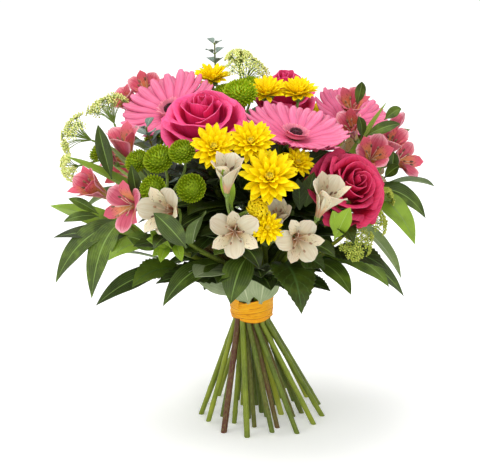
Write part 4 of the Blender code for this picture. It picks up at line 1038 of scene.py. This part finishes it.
def santiniHead(heap, place, axis, wide, draw):
    reach = santiniLook["swell"] * wide / 2
    side, _ = frameOf(axis)
    heap.bud(domeForm, place, axis, 0.70 * reach, 0.34 * reach, 0.2, 2)
    for turn, high in sphereSpots(santiniLook["petals"], -0.75, 1.0):
        ring = math.sqrt(max(0, 1 - high * high))
        radial = spoke(axis, turn)
        outward = unit(ring * radial + 1.6 * high * axis)
        tip = place + reach * (ring * radial * draw.uniform(0.95, 1.0) + santiniLook["flat"] * high * axis)
        root = tip - outward * santiniLook["length"] * reach - 0.12 * reach * radial
        bulge = (root + tip) / 2 + 0.08 * reach * radial - 0.05 * reach * axis
        width = santiniLook["width"] * reach * (0.55 + 0.45 * ring)
        heap.blade(buttonPetal, (smooth(6, (0, 0.5, 1), (root, bulge, tip)),
                                 np.cross(outward, axis) + 0.02 * side),
                   width, 0.2 * width * buttonPetal.across**2, shade=draw.random())


# Alstroemerias

alstroLook = {"broad": 0.46, "narrow": 0.30, "wave": 1.3, "wall": 0.45, "stamens": 6}


def branch(start, end, axis, radii, steps=12, deep=0.0):
    # a stalk that rises from its start and comes in along the axis, deep past its end; radii at both ends
    reach = np.linalg.norm(end - start)
    points = bezier(start, start + 0.35 * reach * unit(end - start + (0, 0, 0.4 * reach)),
                    end - 0.4 * reach * axis, end + deep * axis, np.linspace(0, 1, steps))
    return points, np.linspace(*radii, steps)


def floret(heap, wires, threads, hub, throat, axis, length, opening, roll, draw):
    base = throat - axis * length * 0.72
    wires.append(branch(hub, base, axis, (1.0, 1.4), 10, 1.5))
    heap.bud(domeForm, base + axis * 1.2, axis, 2.5, 3.2, 0.4, 4)
    if opening == 0:
        for w, wrap in enumerate((96, 79.2)):
            for k in range(3):
                turn = 2 * math.pi * (k + 0.5 * w) / 3 + roll
                points = wrapPetal(broadTepal, base, axis, turn, (1.6, 4.4, 4.5, 1.0), 1 + 0.16 * w,
                                   (0.05, 0.36, 0.70, 0.95), length, wrap, 0.06)
                heap.add(broadTepal, points, draw.random())
        return
    mouth = length * (0.26 + 0.28 * opening)
    for k in range(6):
        broad = k % 2 == 0
        turn = roll + math.pi * k / 3 + draw.uniform(-0.08, 0.08)
        rise = length * (0.98 - 0.28 * opening + (0 if broad else 0.06))
        flip = draw.uniform(0.88, 1.08)
        profile = ((0.8, 0.5), (3.2, 0.24 * length), (0.36 * mouth + 1.6, 0.54 * length),
                   (0.80 * mouth, 0.90 * rise),
                   (1.06 * mouth * flip, rise * (1.0 if opening < 0.9 else 0.96)))
        form = broadTepal if broad else narrowTepal
        width = length * alstroLook["broad" if broad else "narrow"]
        x, v = form.across, form.along
        raised = (0.10 * width * x * x * (1.5 - v)
                  + alstroLook["wave"] * np.sin(13 * v + 5 * draw.random()) * np.abs(x) ** 2 * v)
        heap.blade(form, petalPath(base, axis, turn, profile), width, raised, draw.uniform(-0.4, 0.4),
                   shade=draw.random(), skin=0 if broad else 2)
    for k in range(alstroLook["stamens"]):
        lean = spoke(axis, roll + 2 * math.pi * k / alstroLook["stamens"] + 0.3)
        end = base + axis * length * draw.uniform(0.62, 0.76) + lean * 0.16 * length * (0.4 + opening)
        bend = base + axis * 0.48 * length + lean * 0.06 * length
        threads.append((smooth(7, (0, 0.6, 1), (base + axis * 3, bend, end)), 0.35))
        heap.bud(antherForm, end, unit(axis + 0.5 * lean), 0.8, 1.9, draw.random(), 5)


def makeUmbelOfTrumpets(name):
    hub, axis = seatOf(name)
    draw = random.Random(name)
    heap, wires, threads = Heap(), [], []
    for k, (throat, face, length, opening) in enumerate(florets[name]):
        floret(heap, wires, threads, hub + axis * 3, np.array(throat, float), facing(*face), length,
               opening, 0.5 * k, draw)
    stalks = Heap()
    stalks.bud(domeForm, hub + axis * 3.2, axis, 2.5, 3.0, 0.4)
    stalks.wires(wires, 0)
    stalks.wires(threads, 1)
    colour = "pink" if name.startswith("pink") else "cream"
    outer, inner = (f"alstroemeria{colour.title()}{tepal}" for tepal in ("Tepal", "ThroatTepal"))
    dress(name + "_trumpets", heap, (outer, outer, inner, inner, "flowerStalk", "alstroemeriaAnther"),
          [name + "_umbel"], alstroLook["wall"])
    dress(name + "_pedicels", stalks, ("flowerStalk", "alstroemeriaFilament"), [name + "_umbel"])


# Airy umbels

umbelLook = {"rays": 24, "small": 16, "raysSmall": 20, "flowers": 13, "rayRadius": 0.36, "stalkRadius": 0.22,
             "floretSize": 0.9, "swell": 1.14}


def umbelCluster(heap, wires, start, middle, radius, fresh, draw):
    axis = unit(middle - start)
    radius = umbelLook["swell"] * radius * (1.0 if fresh > 0.5 else 1.15)
    spring = middle - axis * 0.9 * radius
    wires.append((smooth(8, (0, 1), (start, spring)), 1.0))
    rays = umbelLook["rays" if radius > umbelLook["small"] else "raysSmall"]
    flowers = umbelLook["flowers"]
    for k in range(rays):
        radial = spoke(axis, goldenTurn * k + draw.uniform(-0.3, 0.3))
        out = radius * 0.92 * math.sqrt((k + 0.6) / rays)
        high = radius * draw.uniform(0.95, 1.15) * (1.05 - 0.4 * (out / radius) ** 2)
        end = spring + out * 0.86 * radial + high * 0.9 * axis
        bend = spring + 0.35 * out * radial + 0.55 * high * axis
        wires.append((smooth(6, (0, 0.5, 1), (spring, bend, end)), umbelLook["rayRadius"]))
        heading = unit(end - bend)
        for n in range(flowers):
            lean = goldenTurn * n
            spread = 0.22 * radius * math.sqrt((n + 0.5) / flowers)
            spot = end + spoke(heading, lean) * spread + heading * 0.08 * radius
            wires.append((np.array((end, spot)), umbelLook["stalkRadius"]))
            size = umbelLook["floretSize"] * draw.uniform(0.8, 1.25)
            heap.bud(tinyBud, spot, heading, size, 0.8 * size, fresh + draw.uniform(-0.2, 0.2), spin=lean)


# Leaves

leafLook = {
    "fold": 0.26, "roll": 0.6, "wall": 0.45, "crease": 80,
    "forms": {"lance": lanceLeaf, "pale": lanceLeaf, "broad": broadLeaf, "toothed": serratedLeaf},
    "finishes": ("alstroemeriaLeaf", "alstroemeriaLeafBack", "roseLeaf", "roseLeafBack",
                 "silverLeaf", "silverLeaf", "youngLeaf", "youngLeaf"),
}


def leafCopy(heap, base, tip, width, arch, form, draw, shade=None, toward=None):
    # the midrib arches up and out from base to tip; both halves fold up from it, and the edge waves; its
    # face looks up and out, or toward the given side
    tip = np.asarray(tip, float)
    out = unit(np.array((tip[0] - bundle["tieX"], tip[1], 0.0)))
    middle = (base + tip) / 2 + 2 * arch * unit(0.4 * out + (0, 0, 1.0))
    t = np.linspace(0, 1, 26)[:, None]
    path = (1 - t) ** 2 * base + 2 * t * (1 - t) * middle + t * t * tip
    blade = leafLook["forms"][form]
    x, v = blade.across, blade.along
    half = width / 2
    phase = draw.uniform(0, 6)
    raised = (leafLook["fold"] * half * np.abs(x)
              + 0.07 * half * np.sin(13 * v + phase + np.sign(x) * 0.9) * x * x * np.sin(math.pi * v)
              - 0.10 * half * x**4)
    across = np.cross(path[-1] - path[0], 0.6 * out + (0, 0, 1.0) if toward is None else toward)
    skin = 2 if form == "toothed" else (4 if form == "pale" or form == "broad" and tip[2] < 200 else 0)
    if shade is not None and shade > 0.7:
        skin = 6
    # a leaf that hangs out sideways turns its face to the front
    sideways = 0 if shade is not None else np.clip((abs(out[0]) - 0.4) / 0.6, 0, 1)
    roll = np.sign(across[1]) * leafLook["roll"] * sideways * (1 if tip[1] < 0 else -1)
    heap.blade(blade, (path, unit(across)), width, raised, draw.uniform(-0.1, 0.1), roll,
               draw.random() if shade is None else shade, skin)


def dressLeaves(name, heap, nodes):
    dress(name, heap, leafLook["finishes"], nodes, leafLook["wall"], leafLook["crease"])


# Young leaves that the photo shows among the flowers: the stem, where the leaf springs and where its tip
# is, its width, its form and its shade
youngLeaves = (
    ("santini_left", (-93, -78, 234), (-99, -92, 278), 12, "lance", 0.2),
    ("cream_front", (-10, -118, 247), (-18, -152, 291), 12, "lance", 0.8),
    ("cream_left", (-50, -126, 212), (-77, -152, 252), 19, "lance", 0.35),
    ("cream_left", (-64, -100, 203), (-85, -124, 219), 10, "lance", 1.0),
    ("cream_left", (-66, -100, 201), (-80, -122, 203), 10, "lance", 0.9),
    ("cream_left", (-67, -100, 205), (-73, -124, 198), 11, "lance", 1.0),
    ("cream_left", (-60, -104, 208), (-54, -126, 199), 10, "lance", 0.9),
    ("cream_left", (-69, -104, 208), (-82, -124, 226), 9, "lance", 0.8),
    ("cream_left", (-62, -108, 213), (-64, -128, 231), 9, "lance", 0.9),
    ("rose_right", (55, -84, 237), (61, -112, 277), 17, "toothed", 0.4),
    ("rose_right", (50, -84, 234), (47, -104, 269), 13, "toothed", 0.2),
    ("rose_right", (80, -104, 212), (92, -130, 250), 15, "lance", 1.0),
    ("rose_right", (82, -104, 216), (77, -126, 246), 11, "lance", 0.9),
    ("cream_front", (16, -23, 122), (22, -50, 172), 30, "pale", 0.7),
    ("cream_front", (5, -23, 122), (-6, -50, 168), 30, "pale", 0.6),
    ("pink_high", (-120, -48, 252), (-131, -52, 304), 14, "lance", 0.25),
    ("cream_left", (-2, -27, 134), (-50, -74, 172), 24, "pale", 0.7),
    ("rose_right", (50, -52, 262), (78, -56, 280), 15, "toothed", 0.3),
    ("rose_right", (72, -50, 262), (101, -54, 276), 15, "toothed", 0.4),
    ("santini_left", (-77, -84, 196), (-104, -100, 214), 16, "lance", 0.5),
    ("pink_left", (-132, -56, 221), (-158, -70, 240), 9, "lance", 0.4),
    ("pink_left", (-132, -56, 219), (-163, -70, 218), 9, "lance", 0.4),
    ("foliage_right", (51, -86, 190), (72, -108, 186), 20, "toothed", 0.4),
    ("pink_back", (106, 16, 306), (110, 12, 329), 10, "lance", 0.4),
    ("pink_back", (109, -20, 283), (104, -34, 307), 9, "lance", 0.4),
    ("pink_right", (112, -24, 286), (143, -30, 299), 11, "lance", 0.4),
    ("pink_right", (130, -10, 298), (145, -14, 309), 10, "lance", 0.5),
    ("pink_right", (136, -20, 247), (137, -30, 273), 11, "lance", 0.3),
    ("pink_right", (130, -24, 246), (143, -34, 260), 11, "lance", 0.4),
)


def makeLeaves(name):
    heap, draw = Heap(), random.Random("leaves " + name)
    for owner, t, tip, width, arch, form in leaves:
        if owner == name:
            leafCopy(heap, onStem(owner, t), tip, width, arch, form, draw)
    for owner, base, tip, width, form, shade in youngLeaves:
        if owner == name:
            leafCopy(heap, np.array(base, float), tip, width, 3, form, draw, shade, (0, -1, 0.5))
    if heap.parts:
        dressLeaves(name + "_leaves", heap, [name])


fillerLook = {
    "count": 124, "width": (20, 32), "arch": (2, 8), "middle": 212.0,
    "collar": 34, "collarWidth": (24, 34), "collarArch": (6, 12), "forms": ("toothed", "lance", "lance"),
}


def innerLeaf(heap, base, tip, widths, arches, way, draw):
    # its tone is drawn from 0 to 0.3, the darkest greens: painted shade
    leafCopy(heap, base, tip, draw.uniform(*widths), draw.uniform(*arches), draw.choice(fillerLook["forms"]),
             draw, draw.uniform(0.0, 0.3), way + (0, 0, 1.2))


def makeFiller():
    # leaves deep inside the bouquet, which close the gaps between the flowers and over the tie; they take
    # the darkest leaf tones, painted shade for their place deep inside and under the heads
    heap, draw = Heap(), random.Random(11)
    tieX = bundle["tieX"]
    core = np.array((tieX, 0, fillerLook["middle"]))
    for turn, high in sphereSpots(fillerLook["count"], -0.45, 0.95):
        ring = math.sqrt(1 - high * high)
        way = np.array((ring * math.sin(turn), -ring * math.cos(turn), high))
        base = core + way * (52, 46, 34) * draw.uniform(0.35, 0.6)
        tip = core + way * (122, 104, 76) * draw.uniform(0.76, 0.98) + (0, 0, draw.uniform(-4, 8))
        innerLeaf(heap, base, tip, fillerLook["width"], fillerLook["arch"], way, draw)
    for k in range(fillerLook["collar"]):
        turn = goldenTurn * k
        way = np.array((math.cos(turn), math.sin(turn), 0.0))
        base = np.array((tieX, 0, 138 + draw.uniform(0, 14))) + way * draw.uniform(15, 24)
        tip = np.array((tieX, 0, 146 + draw.uniform(0, 26))) + way * draw.uniform(64, 96)
        innerLeaf(heap, base, tip, fillerLook["collarWidth"], fillerLook["collarArch"], way, draw)
    dressLeaves("inner_leaves", heap, [])


# Eucalyptus

sprigLook = {
    "pairs": 11, "from": 0.56, "length": (16, 7), "width": (13, 6), "wall": 0.5,
    "swell": {"eucalyptus_left": 1.6, "eucalyptus_top": 1.3},
}


def makeSprig(name, wires, draw):
    heap = Heap()
    pairs, start, swell = sprigLook["pairs"], sprigLook["from"], sprigLook["swell"][name]
    for k in range(pairs):
        share = k / (pairs - 1)
        t = start + (0.99 - start) * share
        base = onStem(name, t)
        ahead = unit(base - onStem(name, t - 0.03))
        length, width = (swell * np.interp(share, (0, 1), sprigLook[size]) * draw.uniform(0.9, 1.05)
                         for size in ("length", "width"))
        for sign in (1, -1):
            out = unit(sign * spoke(ahead, 1.35 * k) + (0.2 + 0.3 * share) * ahead)
            stalk = base + out * 2.5
            wires.append((np.array((base, stalk)), 0.5))
            tip = stalk + out * length
            middle = (stalk + tip) / 2 + ahead * 0.14 * length
            heap.blade(roundLeaf, (smooth(9, (0, 0.5, 1), (stalk, middle, tip)), np.cross(out, ahead)), width,
                       0.10 * width * roundLeaf.across**2, shade=draw.random())
    dress(name + "_sprig", heap, ("eucalyptusLeaf",) * 2, [name], sprigLook["wall"])


# Stems

stemLook = {
    "fineness": 3,
    "girth": {"umbel_left": 1.35, "mum_left": 1.25, "pink_left": 1.15, "santini_top": 1.15},
    # from 0, brown, to 1, fresh green
    "tones": {"umbel_left": 0.02, "santini_left": 0.16, "cream_left": 0.45, "mum_low": 0.26,
              "gerbera_left": 0.5},
    "kindTones": {"gerbera": 0.85, "umbel": 0.75, "alstro": 0.62, "santini": 0.5, "foliage": 0.5,
                  "eucalyptus": 0.28, "rose": 0.42, "mum": 0.45},
    "slots": {"santini": "santini_green", "umbel": "umbel_green", "eucalyptus": "eucalyptus_grey"},
    "branchTaper": np.array((1.15, 0.9)), "mumBranch": 1.5, "santiniBranch": 1.4,
}


def cutLevel(height):
    # a level cut through all of the active stem, closed with a flat face
    bpy.ops.object.mode_set(mode="EDIT")
    bpy.ops.mesh.select_all(action="SELECT")
    bpy.ops.mesh.bisect(plane_co=(0, 0, height), plane_no=(0, 0, 1), use_fill=True, clear_inner=True)
    bpy.ops.object.mode_set(mode="OBJECT")


def faceHeights(form):
    # the highest point of each face
    starts = np.cumsum(form.totals) - form.totals
    return np.maximum.reduceat(form.points[form.loops, 2], starts)


def sepals(heap, place, axis, count, profile, width, draw):
    for k in range(count):
        turn = 2 * math.pi * (k + draw.uniform(-0.1, 0.1)) / count
        heap.blade(bractForm, petalPath(place, axis, turn, profile, 8), width,
                   0.15 * width * bractForm.across**2, shade=draw.random(), skin=2)


def makeStem(name):
    kind = stems[name][0]
    foot, waist, curve = paths[name]
    draw = random.Random("stem " + name)
    radius = thickness[kind] / 2
    seat, axis = seatOf(name)
    down = unit(foot - waist)
    lower = [foot + down * 6] + [foot + (waist - foot) * s for s in np.linspace(0, 1, 30)]
    t = np.linspace(0, 1, 46)
    points = np.array([*lower, *bezier(*curve, t)])
    taper = np.interp(t, barSteps, (1, 1, 0.92, 0.85, 0.8))
    radii = radius * np.concatenate([np.full(len(lower), stemLook["girth"].get(name, 1.0)), taper])
    length = np.concatenate([[0], np.cumsum(np.linalg.norm(np.diff(points, axis=0), axis=1))])
    if kind in ("alstro", "mum", "foliage", "rose"):
        joint = draw.uniform(14, 40)
        while joint < length[-1] - 20:
            radii = radii * (1 + 0.13 * np.exp(-((length - joint) / 2.6) ** 2))
            joint += draw.uniform(34, 52)
    # the end widens into the flower's base, or thins where leaves go on to the tip
    left = length[-1] - length
    if kind in ("rose", "gerbera"):
        wide = 5.8 if kind == "rose" else 7.0
        radii = np.maximum(radii, wide * np.clip(1 - left / 11, 0, 1) ** 0.8)
    if kind == "eucalyptus":
        radii = radii * np.interp(left, (0, 110), (0.35, 1.0))
    if kind == "alstro":
        radii = np.maximum(radii, 2.4 * np.clip(1 - left / 6, 0, 1))
    bar = runsObject([(points, radii)], stemLook["fineness"])
    cutLevel(float(foot[2]))
    form = Form(bar)
    heap, wires = Heap(), []
    tone = stemLook["tones"].get(name, stemLook["kindTones"][kind] + draw.uniform(-0.12, 0.12))
    heap.add(form, form.points, tone, np.where(faceHeights(form) < foot[2] + 0.01, 1, 0))
    hub = onStem(name, 1.0)
    if kind == "rose":
        sepals(heap, seat, axis, 5, ((4.0, -3.5), (8, 0.5), (14, 1.0), (20, -3.0)), 5.5, draw)
        for along in (0.06, 0.16, 0.30, 0.44):
            spot, way = onStem(name, along), draw.uniform(0, 6.28)
            out = np.array((math.cos(way), math.sin(way), -0.3))
            wires.append((np.array((spot + out * 1.8, spot + out * 4.2, spot + out * 5.4 - (0, 0, 0.6))),
                          (1.1, 0.5, 0.08)))
    if kind == "gerbera":
        sepals(heap, seat, axis, 16, ((5.0, -5.5), (9, 0.0), (15, 5.2)), 3.0, draw)
        sepals(heap, seat, axis, 14, ((4.0, -7.0), (7.6, -2.5), (10.5, 1.5)), 3.0, draw)
    if kind == "mum":
        for owner, place, turned, wide in sum(chrysanthemums.values(), ()):
            if owner == name:
                back = facing(*turned)
                reach = wide / 2
                depth = 0.10 * reach if wide >= mumLook["smallestOpen"] else 0.36 * wide
                under = np.array(place, float) - back * depth
                wires.append(branch(hub - (0, 0, 3), under - back * 2, back,
                                    stemLook["branchTaper"] * stemLook["mumBranch"]))
                heap.bud(domeForm, under, back, 0.2 * reach + 2, 0.12 * reach + 1.4, 0.5, 2)
                sepals(heap, under, back, 10, ((2, -1.2), (0.26 * reach + 1.5, 0.2), (0.42 * reach, 1.6)),
                       2.6, draw)
    if kind == "santini":
        blooms = Heap()
        for place, turned, wide in santini[name]:
            back = facing(*turned)
            middle = np.array(place, float)
            wires.append(branch(hub - (0, 0, 3), middle - back * 0.3 * wide, back,
                                stemLook["branchTaper"] * stemLook["santiniBranch"]))
            santiniHead(blooms, middle, back, wide, draw)
        # the top heads take the lighter copy of the petal, which is painted light
        petal = "santiniPetalPaintedLight" if name == "santini_top" else "santiniPetal"
        dress(name + "_buttons", blooms, (petal,) * 4, [name], santiniLook["wall"])
    if kind == "umbel":
        flowers = Heap()
        for middle, wide in umbels[name]:
            umbelCluster(flowers, wires, hub - (0, 0, 2), np.array(middle, float), wide,
                         0.1 if name == "umbel_right" else 0.7, draw)
        dress(name + "_flowers", flowers, ("umbelFloret",), [name])
    if kind == "eucalyptus":
        makeSprig(name, wires, draw)
    if wires:
        heap.wires(wires, 2)
    dress(name + "_stem", heap, ("cutStem", "cutEnd", "flowerStalk"), [name],
          crease=50)


# The tie: one ribbon, wound several turns and crinkled

ribbonLook = {"width": 11.5, "turns": 5, "layer": 0.32, "rows": 420, "columns": 8, "wall": 0.2,
              "crinkle": 0.36, "curl": 0.40, "startTurn": -2.2}


def makeTie():
    strip = Form(primitive("grid", x_subdivisions=ribbonLook["columns"],
                           y_subdivisions=ribbonLook["rows"], size=2))
    u, v = strip.across, strip.along
    width, turns, inner = ribbonLook["width"], ribbonLook["turns"], bundle["tieInner"]
    turn = 2 * math.pi * turns * v + ribbonLook["startTurn"]
    half = width / 2
    low, high = bundle["tieLow"] + half + 0.4, bundle["tieHigh"] - half - 0.2
    middle, span = (low + high) / 2, (high - low) / 2
    slope = 0.5 * span * np.sin(1.34 * turn + 0.5)
    z = middle + 0.5 * span * (2 * v - 1) + slope + u * half * (1 - 0.10 * np.sin(2.3 * turn))
    fine = np.sin(3.1 * z - 2 * np.sin(2 * turn) + 7 * turn)
    crinkle = (np.sin(1.9 * z + 0.9 * np.sin(3 * turn)) + 0.6 * fine) / 1.6
    edge = np.abs(u) ** 4 * (0.6 + 0.4 * np.sin(5 * turn + 3 * u))
    radius = (inner + 0.35 + ribbonLook["layer"] * turns * v
              + ribbonLook["crinkle"] * crinkle + ribbonLook["curl"] * edge)
    heap = Heap()
    heap.add(strip, np.column_stack([bundle["tieX"] + radius * np.cos(turn), radius * np.sin(turn), z]))
    ribbon = dress("tie_ribbon", heap, ("crinkledRibbon",), ["tie"], ribbonLook["wall"])


# The room: floor, light and camera

roomLook = {
    "target": (-0.0033, 0.0, 0.181), "distance": 1.6, "elevation": 18, "lens": 126.3,
    "sky": 0.68, "floor": 24,
    # each light's place, width and power
    "lights": {"key": ((-0.35, 0.1, 2.3), 1.8, 37), "fill": ((0.5, -2.2, 1.2), 1.5, 16),
               "side": ((-1.8, -0.7, 1.3), 1.4, 9)},
}


def makeRoom():
    floor = primitive("plane", size=roomLook["floor"])
    floor.name = "studio_floor"
    floor.data.materials.append(bpy.data.materials["studioFloor"])
    world = bpy.data.worlds.new("studioLight")
    bpy.context.scene.world = world
    world.use_nodes = True
    feed(world.node_tree, world.node_tree.nodes["Background"],
         {"Color": (1, 1, 1, 1), "Strength": roomLook["sky"]})
    target = mathutils.Vector(roomLook["target"])
    for name, (place, size, power) in roomLook["lights"].items():
        light = bpy.data.lights.new(name, "AREA")
        light.shape = "DISK"
        light.size = size
        light.energy = power
        lamp = put(name, light)
        lamp.location = place
        lamp.rotation_euler = (target - lamp.location).to_track_quat("-Z", "Y").to_euler()
    lens = bpy.data.cameras.new("camera")
    lens.lens = roomLook["lens"]
    lens.sensor_width = 36
    camera = put("camera", lens)
    up = math.radians(roomLook["elevation"])
    camera.location = target + mathutils.Vector((0, -math.cos(up), math.sin(up))) * roomLook["distance"]
    camera.rotation_euler = (math.pi / 2 - up, 0, 0)
    bpy.context.scene.camera = camera
    bpy.context.scene.view_settings.view_transform = "Standard"


print("stage: room")
makeRoom()
print("stage: stems")
for stemName in stems:
    makeStem(stemName)
print("stage: leaves")
for stemName in stems:
    makeLeaves(stemName)
makeFiller()
print("stage: blooms")
for makeBloom, names in ((makeRose, roses), (makeGerbera, gerberas), (makeMums, chrysanthemums),
                         (makeUmbelOfTrumpets, florets)):
    for bloomName in names:
        makeBloom(bloomName)
print("stage: tie")
makeTie()
